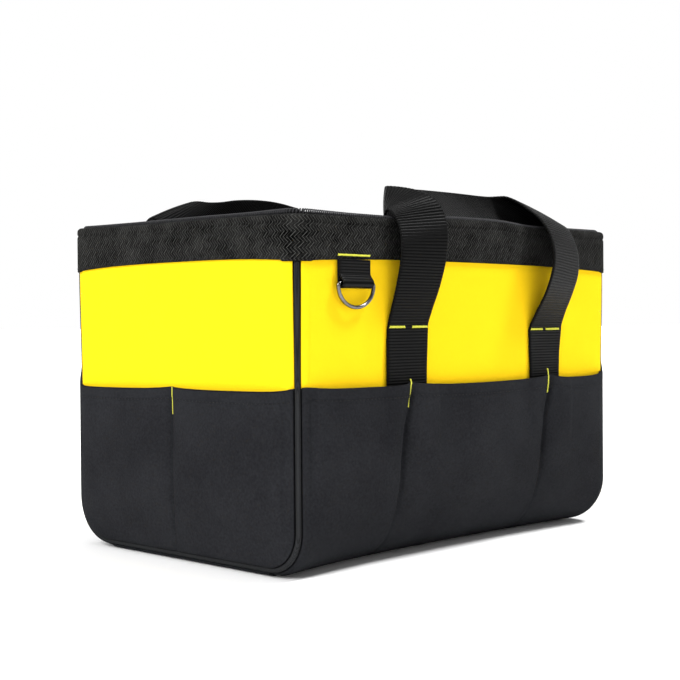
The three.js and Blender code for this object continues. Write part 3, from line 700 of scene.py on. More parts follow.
def wall_lining():
    rows = crowded(strip_rows(2.97, 30, 14, 8))
    columns = crowded(WRAP_COLUMNS[::2], CORNER_GAP, CORNER_GAP)
    parts = thin_sheet(strip_surface(CLOTH_TOP, SEAM_TURN + SEAM_CLOSES), columns, rows,
                       even(-WALL, -CLOTH - LINING_GAP), WALL - CLOTH)
    shown("wall_lining", *parts, "black_cloth", LINING)


def base_board():
    rows = crowded(np.linspace(-0.97, 0.97, 60), 0.012, 0.012)
    columns = crowded(WRAP_COLUMNS, CORNER_GAP, CORNER_GAP)
    parts = thin_sheet(strip_surface(CLOTH_TOP, SEAM_TURN), columns, rows,
                       even(SEAM_GAP, BASE_RISE), BASE_CLOTH)
    shown("base_board", *parts, "black_cloth", BLACK, "base_panel")


END_COLUMNS = np.concatenate([np.linspace(-1, -0.6, 22), np.linspace(-0.6, 0.6, 62)[1:-1],
                              np.linspace(0.6, 1, 22)])
END_ROWS = np.concatenate([np.linspace(0, 0.12, 16)[:-1], np.linspace(0.12, 1, 44)])


def end_cloth(name, rows, top, rises, looks, turn_it, node=None):
    turn = EIGHTH + SEAM_SLOT - SEAM_CLOSES
    low_rise, high_rise, thickness = rises

    def surface(u, v, rise):
        floor_z = end_points(u, 0 * v, top, turn, 0 * u)[..., 2]
        level = (split_height(u, 0.9) - END_HEM_FALL * (u + 1) - floor_z) / (top - floor_z)
        above = mix(level, 1, (v - END_SPLIT) / (1 - END_SPLIT))
        return end_points(u, np.where(v < END_SPLIT, v / END_SPLIT * level, above), top, turn, rise)
    parts = thin_sheet(surface, crowded(END_COLUMNS), crowded(rows), even(low_rise, high_rise), thickness)
    shown(name, *parts, *looks, node, turn_it=turn_it)


HEM_STEEPNESS = 0.9
HEMMED_CLOTH = POCKET_CLOTH - 0.4 * MM


def hem_profile(down):
    """Extra thickness over a folded hem at a depth below the edge, less the dent of its stitching."""
    fold = HEM_FOLD * (1 - smooth((down - HEM) / (1.2 * MM)))
    return fold - HEM_DENT * np.exp(-(((down - HEM_SEAM) / HEM_DENT_WIDTH) ** 2))


def seam_dent(distance):
    """How deep the stitching of a divider pulls the cloth in, at a distance beside it."""
    return DIVIDER_DENT * np.exp(-((distance / DIVIDER_DENT_WIDTH) ** 2))


def front_hem(x):
    """Height of the front pocket edge: it dips over each pocket and is held up at the seams."""
    low, high = front_bounds(x, POCKET_TOP)
    dip = FRONT_HEM_DIP * (0.55 + 0.45 * smooth((x + 0.11) / 0.05))
    return POCKET_TOP + 0.6 * MM - dip * swell(x, low, high, HEM_STEEPNESS)


def front_places(u, v):
    """The strip place of a pocket grid point. v is 0..1 down the hem zone, 1..2 down the wall and
    2..3 round the foot."""
    flat = np.clip(u, -1, 1)
    x = flat * (HALF_LENGTH - CORNER_ROUND)
    top = front_hem(x)
    foot = foot_round(flat * HALF_LENGTH, -1)
    foot_top = BASE_RISE + foot[1]
    z = np.where(v < 1, top - v * HEM_ZONE, mix(top - HEM_ZONE, foot_top, np.clip(v - 1, 0, 1)))
    reach = np.where(v <= 2, 2 + (z - foot_top) / (top - foot_top), 4 - v)
    return x, np.where(v <= 2, z, outline(-1, reach, foot, top)[1]), top, reach


def front_rise(u, v):
    x, z, top, _ = front_places(u, v)
    low, high = front_bounds(x, z)
    creases = [np.where(np.abs(bound) < HALF_LENGTH - 2 * CORNER_ROUND, CREASE, 0) for bound in (low, high)]
    full = FRONT_FULLNESS * swell(x, low + creases[0], high - creases[1])
    full = full * smooth((z - 24 * MM) / (46 * MM)) * (1 - 0.25 * np.exp(-((top - z) / EDGE_TUCK) ** 2))
    inner = SEAM_GAP + leg_padding(x, z) + np.where(np.abs(u) > 1, 0, full)
    near = np.minimum(np.abs(x - low), np.abs(x - high))
    held = np.where(np.abs(u) > 0.999, 1, smooth(near / (4 * MM)))
    return inner, inner + HEMMED_CLOTH + hem_profile(top - z) - seam_dent(near) * (1 - held)


def front_pocket_surface(u, v, rise):
    x, z, top, reach = front_places(u, v)
    return wrap_points(u, -1.0, reach, top, SEAM_TURN, rise)


def pocket_columns():
    """Columns that crowd at the dividers, where the cloth is pulled in."""
    edge = HALF_LENGTH - CORNER_ROUND
    x = np.linspace(-1, 1, 121)
    for place in FRONT_DIVIDERS:
        x = np.concatenate([x, (place + np.linspace(-9, 5, 15) * MM) / edge])
    x = np.unique(np.round(x, 4))
    return np.concatenate([spaced(-2, -1, 0.2)[:-1], x, spaced(1, 2, 0.2)[1:]])


def long_pockets(side, turn_it):
    rows = np.concatenate([np.linspace(0, 1, 20), np.linspace(1, 2, 30)[1:], np.linspace(2, 3, 22)[1:]])
    parts = thin_sheet(front_pocket_surface, crowded(pocket_columns(), CORNER_GAP, CORNER_GAP),
                       crowded(rows, 0.06, 0.03), front_rise, POCKET_CLOTH)
    shown("pocket_" + side, *parts, "black_cloth", BLACK, side + "_pockets", turn_it=turn_it)


# The column of an end panel that its divider runs along.
END_SEAM = END_DIVIDER / HALF_DEPTH * PANEL_DIVIDER


def end_hem(share):
    y = share * HALF_DEPTH
    low, high = end_bounds(y)
    return POCKET_TOP - END_HEM_DIP * swell(y, low, high, HEM_STEEPNESS) - END_HEM_FALL * (share + 1)


def end_rise(u, v):
    top = end_hem(u)
    bare = end_points(u, v, top, EIGHTH + SEAM_SLOT, 0 * u, HEM_ZONE)
    y, z = bare[..., 1], bare[..., 2]
    low, high = end_bounds(y)
    full = END_FULLNESS * swell(y, low, high) * smooth((z - 10 * MM) / (36 * MM))
    full = full * (1 - 0.25 * np.exp(-((top - z) / EDGE_TUCK) ** 2))
    near = np.abs(y - END_DIVIDER)
    inner = SEAM_GAP + full
    return inner, inner + HEMMED_CLOTH + hem_profile(top - z) - seam_dent(near)


def end_pocket_surface(u, v, rise):
    return end_points(u, v, end_hem(u), EIGHTH + SEAM_SLOT, rise, HEM_ZONE)


def end_pockets(side, turn_it):
    columns = np.concatenate([END_COLUMNS, END_SEAM + np.linspace(-0.04, 0.04, 11)])
    rows = np.concatenate([np.linspace(0, 0.14, 16)[:-1], np.linspace(0.14, 1, 30), np.linspace(1, 2, 20)[1:]])
    parts = thin_sheet(end_pocket_surface, crowded(np.unique(np.round(columns, 4))),
                       crowded(rows, EDGE_GAP, 0.06), end_rise, POCKET_CLOTH)
    shown("pocket_" + side, *parts, "black_cloth", BLACK, "end_pockets_" + side, turn_it=turn_it)


def seam_cord(name, turn_it, rise, radius, width, sides, top, sunk=0.0, node=None):
    """A cord along the left end seam, down the corners and under the end."""
    rows = strip_rows(3, 50, 30, 16)
    height = outline(-1, np.abs(rows), foot_round(np.full(len(rows), -HALF_LENGTH), -1), top)[1]
    rise = rise - sunk * smooth((height - POCKET_TOP + 4 * MM) / (12 * MM))
    side, across = np.where(rows < 0, -1.0, 1.0), np.full(len(rows), -2.0)
    centres = wrap_points(across, side, np.abs(rows), top, EIGHTH, rise)
    ahead = unit(np.gradient(centres, axis=0))
    out = square_to(ahead, wrap_points(across, side, np.abs(rows), top, EIGHTH, rise + 1 * MM) - centres)
    vertices, faces = tube_arrays(centres, out, np.cross(ahead, out), radius, width, sides)
    vertices = half_turned(vertices) if turn_it else vertices
    uv = np.stack([vertices[:, 0] + vertices[:, 1], vertices[:, 2] + vertices[:, 1]], -1)
    shown(name, vertices, faces, uv, "black_piping", CORD, node)


# The rim.


def rim_stations(step):
    """Plan of the rim: centres of the corner arcs or points on the straight, with the outward direction."""
    centres, outs = [], []
    corners = [(1, 1), (-1, 1), (-1, -1), (1, -1)]
    for quarter, (sx, sy) in enumerate(corners):
        centre = np.array([sx * (HALF_LENGTH - RIM_ROUND), sy * (HALF_DEPTH - RIM_ROUND)])
        for angle in np.linspace(0, QUARTER, 15) + quarter * QUARTER:
            centres.append(centre)
            outs.append((math.cos(angle), math.sin(angle)))
        nx, ny = corners[(quarter + 1) % 4]
        following = np.array([nx * (HALF_LENGTH - RIM_ROUND), ny * (HALF_DEPTH - RIM_ROUND)])
        count = int(np.linalg.norm(following - centre) / step)
        for t in np.linspace(0, 1, count + 1)[1:-1]:
            centres.append(mix(centre, following, t))
            outs.append(outs[-1])
    return np.array(centres), np.array(outs)


RIM = rim_stations(1.5 * MM)


def far_share(x, y):
    """1 at the back left and front right corners of the rim, falling to 0 at the other two."""
    return (1 - np.sign(y) * x / HALF_LENGTH) / 2 * (np.abs(y) / HALF_DEPTH) ** 2


def rim_lift(x, y):
    """The rim rises towards the back left and front right corners, and between the handle legs."""
    low_side = np.abs(y) / HALF_DEPTH
    along = (FAR_RISE + FAR_BAND_RISE) * far_share(x, y) + END_SAG_RISE * (1 - low_side**2)
    return along + GRIP_RISE * np.exp(-((x * np.sign(y) + GRIP_PLACE) / GRIP_ZONE) ** 4) * low_side**6


def rim_points(centres, outs, rise, z):
    """Points on the rim from stations and a section of rises and heights."""
    out_x, out_y = outs[:, None, 0], outs[:, None, 1]
    x = centres[:, None, 0] + out_x * (RIM_ROUND + RIM_FLARE)
    y = centres[:, None, 1] + out_y * (RIM_ROUND + RIM_FLARE)
    on_long, on_end = np.abs(out_y) > 0.999, np.abs(out_x) > 0.999
    end_waves = np.where(on_end, waves(y * np.sign(-x), z, HALF_DEPTH), 0)
    away = rise + np.where(on_long, waves(x * np.sign(-y), z, HALF_LENGTH), end_waves)
    lift = rim_lift(x, y) * np.clip((z - BAND_BOTTOM) / (HEIGHT - BAND_BOTTOM), 0, 1)
    edge = np.where(on_long, np.abs(x) / HALF_LENGTH, np.where(on_end, np.abs(y) / HALF_DEPTH, 1))
    arch = BAND_ARCH * (1 - np.minimum(edge, 1) ** 3) * (1 - smooth((z - BAND_BOTTOM) / BAND_ARCH_FADE))
    return np.stack([x + out_x * away, y + out_y * away, z + lift + arch], -1)


def ring_sheet(section):
    """A closed ring swept round the rim from a section of (rise, height)."""
    centres, outs = RIM
    rises, heights = np.array(section).T
    points = rim_points(centres, outs, rises[None, :] + np.zeros((len(centres), 1)), heights[None, :])
    stations, corners, _ = points.shape
    points = np.concatenate([points, points[:, :1]], 1)
    run_u = run_lengths(np.concatenate([points, points[:1]], 0), 0)[:-1]
    uv = np.stack([run_u, run_lengths(points, 1)], -1)
    vertex_map = np.arange(stations * (corners + 1)).reshape(stations, corners + 1)
    vertex_map[:, -1] = vertex_map[:, 0]
    faces = vertex_map.reshape(-1)[grid_faces(stations, corners + 1, 0, False, wrap_rows=True)]
    vertices = points.reshape(-1, 3)
    return vertices, facing_out(vertices, faces), uv.reshape(-1, 2)


def rim_line(rise, height):
    """A closed line of points round the rim, and the way out at each."""
    centres, outs = RIM
    line = rim_points(centres, outs, np.full((len(centres), 1), rise), np.array([[height]]))[:, 0]
    outs = np.concatenate([outs, np.zeros((len(outs), 1))], 1)
    return np.concatenate([line, line[:1]]), np.concatenate([outs, outs[:1]])


def band_section():
    """Section of the folded band, out and up, from its outer lower edge over the rim and down inside."""
    inside, out = -WALL - SEAM_GAP, SEAM_GAP
    half = (out + BAND_CLOTH - (inside - BAND_CLOTH)) / 2
    middle, fold = (out + inside) / 2, BAND_TOP - half
    levels = [*np.linspace(BAND_BOTTOM + 0.3 * MM, fold - BAND_FOLD_ZONE, 22),
              *np.linspace(fold - BAND_FOLD_ZONE + 0.5 * MM, fold, 14)]
    grooves = [BAND_GROOVE * math.exp(-((z - fold + 2.4 * MM) / BAND_GROOVE_WIDTH) ** 2) for z in levels]
    outer = [(out + BAND_CLOTH - groove, z) for groove, z in zip(grooves, levels)]
    over = [(middle + half * math.cos(a), fold + half * math.sin(a)) for a in np.linspace(0, math.pi, 15)[1:-1]]
    inner_edge, tuck = BAND_BOTTOM + 4 * MM, CLOTH_TOP + 0.3 * MM
    inner = [(inside - BAND_CLOTH, z) for z in np.linspace(fold, inner_edge, 14)]
    back = [(inside, inner_edge), (inside, tuck), (out, tuck)]
    down = [(out, z) for z in np.linspace(CLOTH_TOP, BAND_BOTTOM, 20)[1:]]
    return [*outer, *over, *inner, *back, *down, (out + BAND_CLOTH * 0.75, BAND_BOTTOM)]


TAPE_OUT = -WALL - SEAM_GAP - BAND_CLOTH - 0.3 * MM


def zip_section():
    """Section of the zip's tape, out and up: up its outer face, over its edge and down again."""
    low, high = BAND_BOTTOM + 8 * MM, COIL_Z + 0.6 * MM
    section = [(TAPE_OUT, z) for z in np.linspace(low, high, 12)]
    section += [(TAPE_OUT - TAPE_CLOTH / 2, high + 0.3 * MM)]
    return section + [(TAPE_OUT - TAPE_CLOTH, z) for z in np.linspace(high, low, 12)]


def zip_teeth(pitch=1.75 * MM, wire=0.46 * MM, points=10):
    """The zip's coil: one nylon wire wound round and round along the rim."""
    line, outs = rim_line(TAPE_OUT - TAPE_CLOTH / 2, COIL_Z)
    near = np.hypot(np.abs(line[:, 0]) - HALF_LENGTH, np.abs(line[:, 1]) - HALF_DEPTH)
    near = np.where(line[:, 0] * line[:, 1] > 0, near, HALF_LENGTH)
    line[:, 2] += COIL_STANDS_UP * np.exp(-((near / COIL_RISE_ZONE) ** 2))
    line[:, 2] -= FAR_BAND_RISE * far_share(line[:, 0], line[:, 1])
    run = walked(line)
    at = np.linspace(0, run[-1], int(run[-1] / pitch) * points, endpoint=False)
    centre, out = read_off(at, run, line), unit(read_off(at, run, outs))
    angle = np.arange(len(at)) / points * 2 * math.pi
    reach = COIL_RADIUS - wire
    path = centre + out * (np.cos(angle) * reach)[:, None]
    path[:, 2] += np.sin(angle) * reach
    ahead = unit(np.roll(path, -1, 0) - np.roll(path, 1, 0))
    first = square_to(ahead, path - centre)
    vertices, faces = tube_arrays(path, first, np.cross(ahead, first), wire, wire, 6, closed=True)
    shown("zip_teeth", vertices, faces, None, "zip_coil", COIL, "zip_coil")


# Handles.


def catmull(points, steps):
    """The centripetal curve through the points, evenly stepped from point to point."""
    points = np.asarray(points, float)
    padded = np.concatenate([[2 * points[0] - points[1]], points, [2 * points[-1] - points[-2]]])
    at = np.linspace(0, len(points) - 1, steps)
    k = np.minimum(at.astype(int), len(points) - 2)
    w = (at - k)[:, None]
    p0, p1, p2, p3 = (padded[k + j] for j in range(4))
    d0, d1, d2 = (np.sqrt(np.linalg.norm(b - a, axis=1))[:, None] for a, b in ((p0, p1), (p1, p2), (p2, p3)))
    t1 = ((p1 - p0) / d0 - (p2 - p0) / (d0 + d1) + (p2 - p1) / d1) * d1
    t2 = ((p2 - p1) / d1 - (p3 - p1) / (d1 + d2) + (p3 - p2) / d2) * d1
    return p1 + t1 * w + (-3 * p1 + 3 * p2 - 2 * t1 - t2) * w**2 + (2 * p1 - 2 * p2 + t1 + t2) * w**3


def handle_edge(left, right, at):
    """One edge of the webbing, from the sewn end of the left leg to that of the right one."""
    legs = [(LEFT_LEG, 1, row[at:at + 3]) for row in left]
    legs += [(RIGHT_LEG, -1, row[at:at + 3]) for row in right[::-1]]
    return [(leg + inwards * across * WEBBING_WIDTH, -HALF_DEPTH - out * DEPTH, up * HEIGHT)
            for leg, inwards, (across, out, up) in legs]


class Handle:
    """A webbing handle as a fine grid: its middle surface, and the direction out of it."""

    def __init__(self, left, right, steps_a_rib=5):
        coarse, last = 1400, len(left) + len(right) - 1
        outer, inner = (catmull(handle_edge(left, right, at), coarse) for at in (0, 3))
        run = walked((outer + inner) / 2)
        self.at = np.linspace(0, run[-1], int(run[-1] / RIB) * steps_a_rib)
        row = np.interp(self.at, run, np.linspace(0, last, coarse))
        outer, inner = read_off(self.at, run, outer), read_off(self.at, run, inner)
        self.share = np.array([0, 0.012, 0.03, 0.06, *np.linspace(0.12, 0.88, 10), 0.94, 0.97, 0.988, 1])
        grid = outer[:, None] + (inner - outer)[:, None] * self.share[None, :, None]
        z = grid[..., 2]
        wall = -HALF_DEPTH - flare(z) - waves(grid[..., 0], z, HALF_LENGTH)
        sewn = wall - SEAM_GAP / 2 - WEBBING_CLOTH / 2
        grid[..., 1] = np.where(z < BAND_BOTTOM, np.minimum(grid[..., 1], sewn), grid[..., 1])
        fold = np.sin(np.clip((np.minimum(row, last - row) - 6) / 8, 0, 1) * math.pi)
        camber = HANDLE_CAMBER * fold[:, None] * 4 * self.share * (1 - self.share)
        self.grid = grid - self.facing(grid) * camber[..., None]
        self.normal = self.facing(self.grid)

    @staticmethod
    def facing(grid):
        return unit(np.cross(np.gradient(grid, axis=0), np.gradient(grid, axis=1)))

    def solid(self):
        ribs = np.abs(np.sin(math.pi * self.at / RIB)) ** 0.7
        edge = np.minimum(self.share, 1 - self.share) * WEBBING_WIDTH
        round_off = np.sqrt(np.clip(1 - (1 - np.clip(edge / (WEBBING_CLOTH / 2), 0, 1)) ** 2, 0.1, 1))
        half = (WEBBING_CLOTH / 2 + RIB_HEIGHT * (ribs[:, None] - 0.6)) * round_off[None, :]
        lift = self.normal * half[..., None]
        vertices, faces, uv = sheet_arrays(self.grid + lift, self.grid - lift)
        uv[:, 1] = np.tile(np.repeat(self.at, len(self.share)), 2)
        return vertices, faces, uv

    def place(self, leg_side, height, share, rise):
        """A point on the face that looks outwards, at a height on the left (0) or right (1) leg."""
        middle = len(self.at) // 2
        rows = np.arange(middle) if leg_side == 0 else np.arange(len(self.at) - 1, middle, -1)
        z = self.grid[rows, len(self.share) // 2, 2]
        row = rows[np.argmax(z > height)]
        point = np.array([np.interp(share, self.share, self.grid[row, :, k]) for k in range(3)])
        normal = self.normal[row, len(self.share) // 2]
        normal = normal if normal[1] < 0 else -normal
        return point + normal * (WEBBING_CLOTH / 2 + rise), normal


# D rings and their tabs.
RING_PLACE = (ring_low.x + ring_high.x) / 2
RING_BAR_Z = ring_high.z - RING_WIRE
RING_HALF_WIDTH = (ring_high.x - ring_low.x) / 2 - RING_WIRE
RING_DROP = ring_high.z - ring_low.z - 2 * RING_WIRE
RING_BEND = 1.6 * MM
TAB_LOOP = RING_WIRE + 0.4 * MM
RING_Y = (ring_low.y + ring_high.y) / 2
TAB_WIDTH = tab_high.x - tab_low.x
TAB_TOP = tab_high.z + 2.2 * MM


def ring_path():
    """Plan of the D: its straight bar, a rounded shoulder and the bow, as across and up."""
    half, bend = RING_HALF_WIDTH, RING_BEND
    shoulder = np.linspace(0, QUARTER, 8)[1:]
    path = [(x, 0) for x in np.linspace(bend - half, half - bend, 16)]
    path += [(half - bend + bend * math.sin(a), -bend + bend * math.cos(a)) for a in shoulder]
    path += [(half * math.cos(a), -bend - (RING_DROP - bend) * math.sin(a))
             for a in np.linspace(0, math.pi, 40)[1:-1]]
    path += [(-half + bend - bend * math.sin(a), -bend + bend * math.cos(a)) for a in shoulder[::-1]]
    return np.array(path)


def ring_wire(side, turn_it):
    path = ring_path()
    centres = np.stack([RING_PLACE + path[:, 0], np.full(len(path), RING_Y), RING_BAR_Z + path[:, 1]], -1)
    ahead = unit(np.roll(centres, -1, 0) - np.roll(centres, 1, 0))
    out = np.tile([0.0, -1.0, 0.0], (len(path), 1))
    vertices, faces = tube_arrays(centres, out, np.cross(ahead, out), RING_WIRE, RING_WIRE, 20, closed=True)
    shown("ring_wire_" + side, vertices, faces, None, "ring_steel", STEEL, "d_ring_" + side,
          "ring_" + side, turn_it)


def ring_loop(side, turn_it):
    """A strip of webbing from the wall down, round the bar of the ring and up again under the band."""
    radius = TAB_LOOP + TAB_CLOTH / 2
    back_y, front_y = RING_Y + radius, RING_Y + radius - 1.05 * TAB_CLOTH
    path = [(back_y, z) for z in np.linspace(TAB_TOP, RING_BAR_Z + 0.5 * MM, 16)]
    path += [(RING_Y + radius * math.cos(a), RING_BAR_Z - radius * math.sin(a))
             for a in np.linspace(0, math.pi, 26)]
    start, stop = np.array(path[-1]), np.array([front_y, RING_BAR_Z + 6 * MM])
    for t in np.linspace(0, 1, 14)[1:]:
        path.append((mix(start[0], stop[0], smooth(t)), mix(start[1], stop[1], t)))
    path += [(front_y, z) for z in np.linspace(stop[1], TAB_TOP, 12)[1:]]
    path = np.array(path)
    ahead = unit(np.gradient(path, axis=0))
    out = np.stack([ahead[:, 1], -ahead[:, 0]], -1)
    share = np.array([0, 0.015, 0.04, *np.linspace(0.1, 0.9, 9), 0.96, 0.985, 1])
    x = RING_PLACE + (share - 0.5) * TAB_WIDTH
    edge = np.minimum(share, 1 - share) * TAB_WIDTH / (TAB_CLOTH / 2)
    half = TAB_CLOTH / 2 * np.sqrt(np.clip(1 - (1 - np.clip(edge, 0, 1)) ** 2, 0.12, 1))

    def face(sign):
        y = path[:, None, 0] + sign * out[:, None, 0] * half[None, :]
        z = path[:, None, 1] + sign * out[:, None, 1] * half[None, :]
        return np.stack([x[None, :] + 0 * y, y, z], -1)
    parts = sheet_arrays(face(1), face(-1))
    shown("ring_loop_" + side, *parts, "black_webbing", TAB_WEBBING, "ring_tab_" + side, turn_it=turn_it)


# Stitching.


def stitch_run(points, normals, pitch, length, radius):
    """Separate stitches along a line of points, each a short thread sunk at its ends."""
    run = walked(points)
    parts = []
    for start in np.arange(pitch / 2, run[-1] - length, pitch):
        at = start + np.linspace(0, length, 5)
        out = unit(read_off(at, run, normals))
        rise = np.array([-0.7, 0.25, 0.5, 0.25, -0.7]) * radius
        centre = read_off(at, run, points) + out * rise[:, None]
        ahead = unit(np.gradient(centre, axis=0))
        out = square_to(ahead, out)
        taper = np.array([0.45, 0.9, 1, 0.9, 0.45]) * radius
        parts.append(tube_arrays(centre, out, np.cross(ahead, out), taper, taper, 6))
    return parts


def bar_tack(line, normal, across, width=1.4 * MM, radius=0.28 * MM):
    """Dense zigzag stitching along a line of points, lying on the cloth."""
    run = walked(line)
    turns = max(4, int(run[-1] / (radius * 1.9)))
    sway = np.tile([-1.0, 1.0], turns)[:turns]
    corners = read_off(np.linspace(0, run[-1], turns), run, line)
    corners += np.array(across) * (sway * width / 2)[:, None]
    at = np.linspace(0, turns - 1, turns * 5)
    swing = np.abs((at % 1) - 0.5) * 2
    path = read_off(at, np.arange(turns), corners) + normal * (radius * (0.9 - 1.0 * swing**3))[:, None]
    ahead = unit(np.gradient(path, axis=0))
    out = square_to(ahead, normal + 0 * ahead)
    return [tube_arrays(path, out, np.cross(ahead, out), radius, radius, 6)]


def surface_line(surface, rises, places, lift=0.0):
    """Points on the outer face of a cloth surface along (column, row) places, and its outward normals."""
    u, v = (np.array(values, float)[None, :] for values in zip(*places))
    rise = rises(u, v)[1] + lift
    base = surface(u, v, rise)[0]
    return base, unit(surface(u, v, rise + 1 * MM)[0] - base)


# Looks. Colours are linear.
YELLOW = fabric("yellow_canvas", (0.80, 0.46, 0.004), (1.0, 0.70, 0.012), 0.62 * MM, 0.10 * MM, mottle=0.16)
BLACK = fabric("black_canvas", (0.003, 0.003, 0.004), (0.023, 0.024, 0.027), 0.66 * MM, 0.12 * MM, mottle=0.7)
LINING = fabric("dark_lining", (0.004, 0.004, 0.005), (0.018, 0.019, 0.020), 0.55 * MM, 0.06 * MM)
# The band's sharp light yarn lines are painted highlight on its yarn crowns.
BAND = fabric("herringbone_band", (0.0003, 0.0003, 0.0003), (0.076, 0.076, 0.072), 2.35 * MM, 0.30 * MM,
              stripe=3.2 * MM, mottle=0.40, contrast=8.0, specular=0.02, patches=70)
TAPE = fabric("zip_tape_cloth", (0.003, 0.003, 0.003), (0.020, 0.020, 0.021), 0.7 * MM, 0.08 * MM)
CORD = fabric("piping_cloth", (0.003, 0.003, 0.003), (0.030, 0.031, 0.033), 1.1 * MM, 0.16 * MM)
WEBBING = webbing("ribbed_webbing", (0.0003, 0.0003, 0.0003), (0.005, 0.005, 0.005), 1.95 * MM, 0.24 * MM)
TAB_WEBBING = webbing("tab_webbing", (0.0003, 0.0003, 0.0003), (0.012, 0.012, 0.012), 1.8 * MM, 0.16 * MM)
DARK_THREAD = thread_look("black_thread", (0.002, 0.002, 0.002), (0.016, 0.016, 0.017), 0.08)
TACK_THREAD = thread_look("yellow_thread", (0.42, 0.44, 0.02), (0.80, 0.78, 0.09))
COIL = nylon("coil_nylon", (0.006, 0.006, 0.007), (0.030, 0.030, 0.033), 0.5)
STEEL = plated_steel("dark_plated_steel")

SIDES = ((False, "front"), (True, "back"))
ENDS = ((False, "left"), (True, "right"))
LOW_END_ROWS = np.concatenate([np.linspace(0, 0.12, 16)[:-1], np.linspace(0.12, END_SPLIT, 12)])
HIGH_END_ROWS = np.linspace(END_SPLIT, 1, 34)
OUTER_RISES = (-CLOTH, 0.0, CLOTH)
LINING_RISES = (-WALL, -CLOTH - LINING_GAP, WALL - CLOTH)

for turn_it, side in SIDES:
    long_pockets(side, turn_it)
wall_cloth("wall_cloth_front", np.linspace(-3, -WALL_SPLIT, 44), "yellow_cloth", YELLOW)
wall_cloth("wall_cloth_back", np.linspace(WALL_SPLIT, 3, 44), "yellow_cloth", YELLOW)
# Dark cloth under the pockets, as painted shade in the slots beside the piping beads.
wall_cloth("wall_cloth_under", strip_rows(WALL_SPLIT, 6, 18, 8), "black_cloth", BLACK)
for turn_it, side in ENDS:
    end_pockets(side, turn_it)
    end_cloth("end_cloth_" + side, HIGH_END_ROWS, CLOTH_TOP, OUTER_RISES, ("yellow_cloth", YELLOW), turn_it,
              "end_panel_" + side)
    # Dark cloth under the end pockets, as painted shade in the slots beside the piping beads.
    end_cloth("end_cloth_" + side + "_low", LOW_END_ROWS, CLOTH_TOP, OUTER_RISES, ("black_cloth", BLACK),
              turn_it)
    end_cloth("end_lining_" + side, END_ROWS, CLOTH_TOP - 0.5 * MM, LINING_RISES, ("black_cloth", LINING),
              turn_it)
    seam_cord("seam_binding_" + side, turn_it, -BINDING_DEPTH, 2.0 * MM, 3.4 * MM, 16, CLOTH_TOP - 6 * MM)
    seam_cord("piping_bead_" + side, turn_it, PIPING_RISE, BEAD_RADIUS, BEAD_RADIUS, 14, BAND_BOTTOM + 0.5 * MM,
              PIPING_SUNK, "piping_" + side)
wall_lining()
base_board()
shown("rim_band", *ring_sheet(band_section()), "band_weave", BAND, "top_band")
shown("zip_strip", *ring_sheet(zip_section()), "zip_tape", TAPE, "zip_tape")
zip_teeth()

HANDLES = (Handle(FRONT_HANDLE_LEFT, FRONT_HANDLE_RIGHT), Handle(BACK_HANDLE_LEFT, BACK_HANDLE_RIGHT))
for handle, (turn_it, side) in zip(HANDLES, SIDES):
    shown("grip_" + side, *handle.solid(), "black_webbing", WEBBING, "handle_" + side, turn_it=turn_it)
    ring_loop(side, turn_it)
    ring_wire(side, turn_it)


def front_stitches():
    """Dark thread along the pocket hem and down the dividers."""
    at = [(column, HEM_SEAM / HEM_ZONE) for column in np.linspace(-1, 1, 400)]
    parts = stitch_run(*surface_line(front_pocket_surface, front_rise, at), *HEM_THREAD)
    edge = HALF_LENGTH - CORNER_ROUND
    for place in FRONT_DIVIDERS:
        at = []
        for v in np.linspace(0.2, 2.4, 160):
            z = front_places(np.array([place / edge]), np.array([v]))[1][0]
            at.append((divider_at(place, z) / edge, v))
        parts += stitch_run(*surface_line(front_pocket_surface, front_rise, at), *DIVIDER_THREAD)
    return parts


def end_stitches():
    at = [(column, 1 + (HEM_ZONE - HEM_SEAM) / HEM_ZONE) for column in np.linspace(-0.97, 0.97, 300)]
    parts = stitch_run(*surface_line(end_pocket_surface, end_rise, at), *HEM_THREAD)
    at = [(END_SEAM, v) for v in np.linspace(0.02, 1.9, 160)]
    return parts + stitch_run(*surface_line(end_pocket_surface, end_rise, at), *DIVIDER_THREAD)


def band_stitches():
    """A row of dark thread round the band, just above its lower edge."""
    return stitch_run(*rim_line(SEAM_GAP + BAND_CLOTH, BAND_BOTTOM + BAND_THREAD_RISE), *BAND_THREAD)


TACK_RISE = (2.2 * MM, 5.0 * MM)
TACK_SLANT = ((0.4 * MM, 0.0), (-4.4 * MM, -3.0 * MM))
TACK_END = POCKET_TOP - 14 * MM
TACK_ROWS = (1.10, 1.02)
LEG_STANDS_OUT = WEBBING_CLOTH + SEAM_GAP
LEG_TACKS = ((149.5 * MM, ((0.02, 0.40), (0.58, 0.96))), (147 * MM, ((0.10, 0.52), (0.62, 0.98))))


def pocket_tacks():
    """Yellow tacks over the pocket edge where each divider ends, from the wall down over the hem."""
    parts = []
    edge = HALF_LENGTH - CORNER_ROUND
    for place, above, slants, last_row in zip(FRONT_DIVIDERS, TACK_RISE, TACK_SLANT, TACK_ROWS):
        first, last = (divider_at(place, z) + slant for z, slant in zip((POCKET_TOP, TACK_END), slants))
        columns = np.linspace(first, last, 9)
        at = list(zip(columns / edge, np.linspace(0.03, last_row, 9)))
        line, normals = surface_line(front_pocket_surface, front_rise, at, 0.3 * MM)
        start = line[0] + np.array([0.4 * MM, 0.5 * LEG_STANDS_OUT, above])
        parts += bar_tack([start, *line], normals[0], (1.0, 0.0, 0.0), 1.0 * MM)
    return parts


def end_tacks():
    at = [(END_SEAM, v) for v in np.linspace(1.97, 0.93, 9)]
    line, normals = surface_line(end_pocket_surface, end_rise, at, 0.2 * MM)
    return bar_tack(line, normals[0], (0.0, 1.0, 0.0), 1.0 * MM)


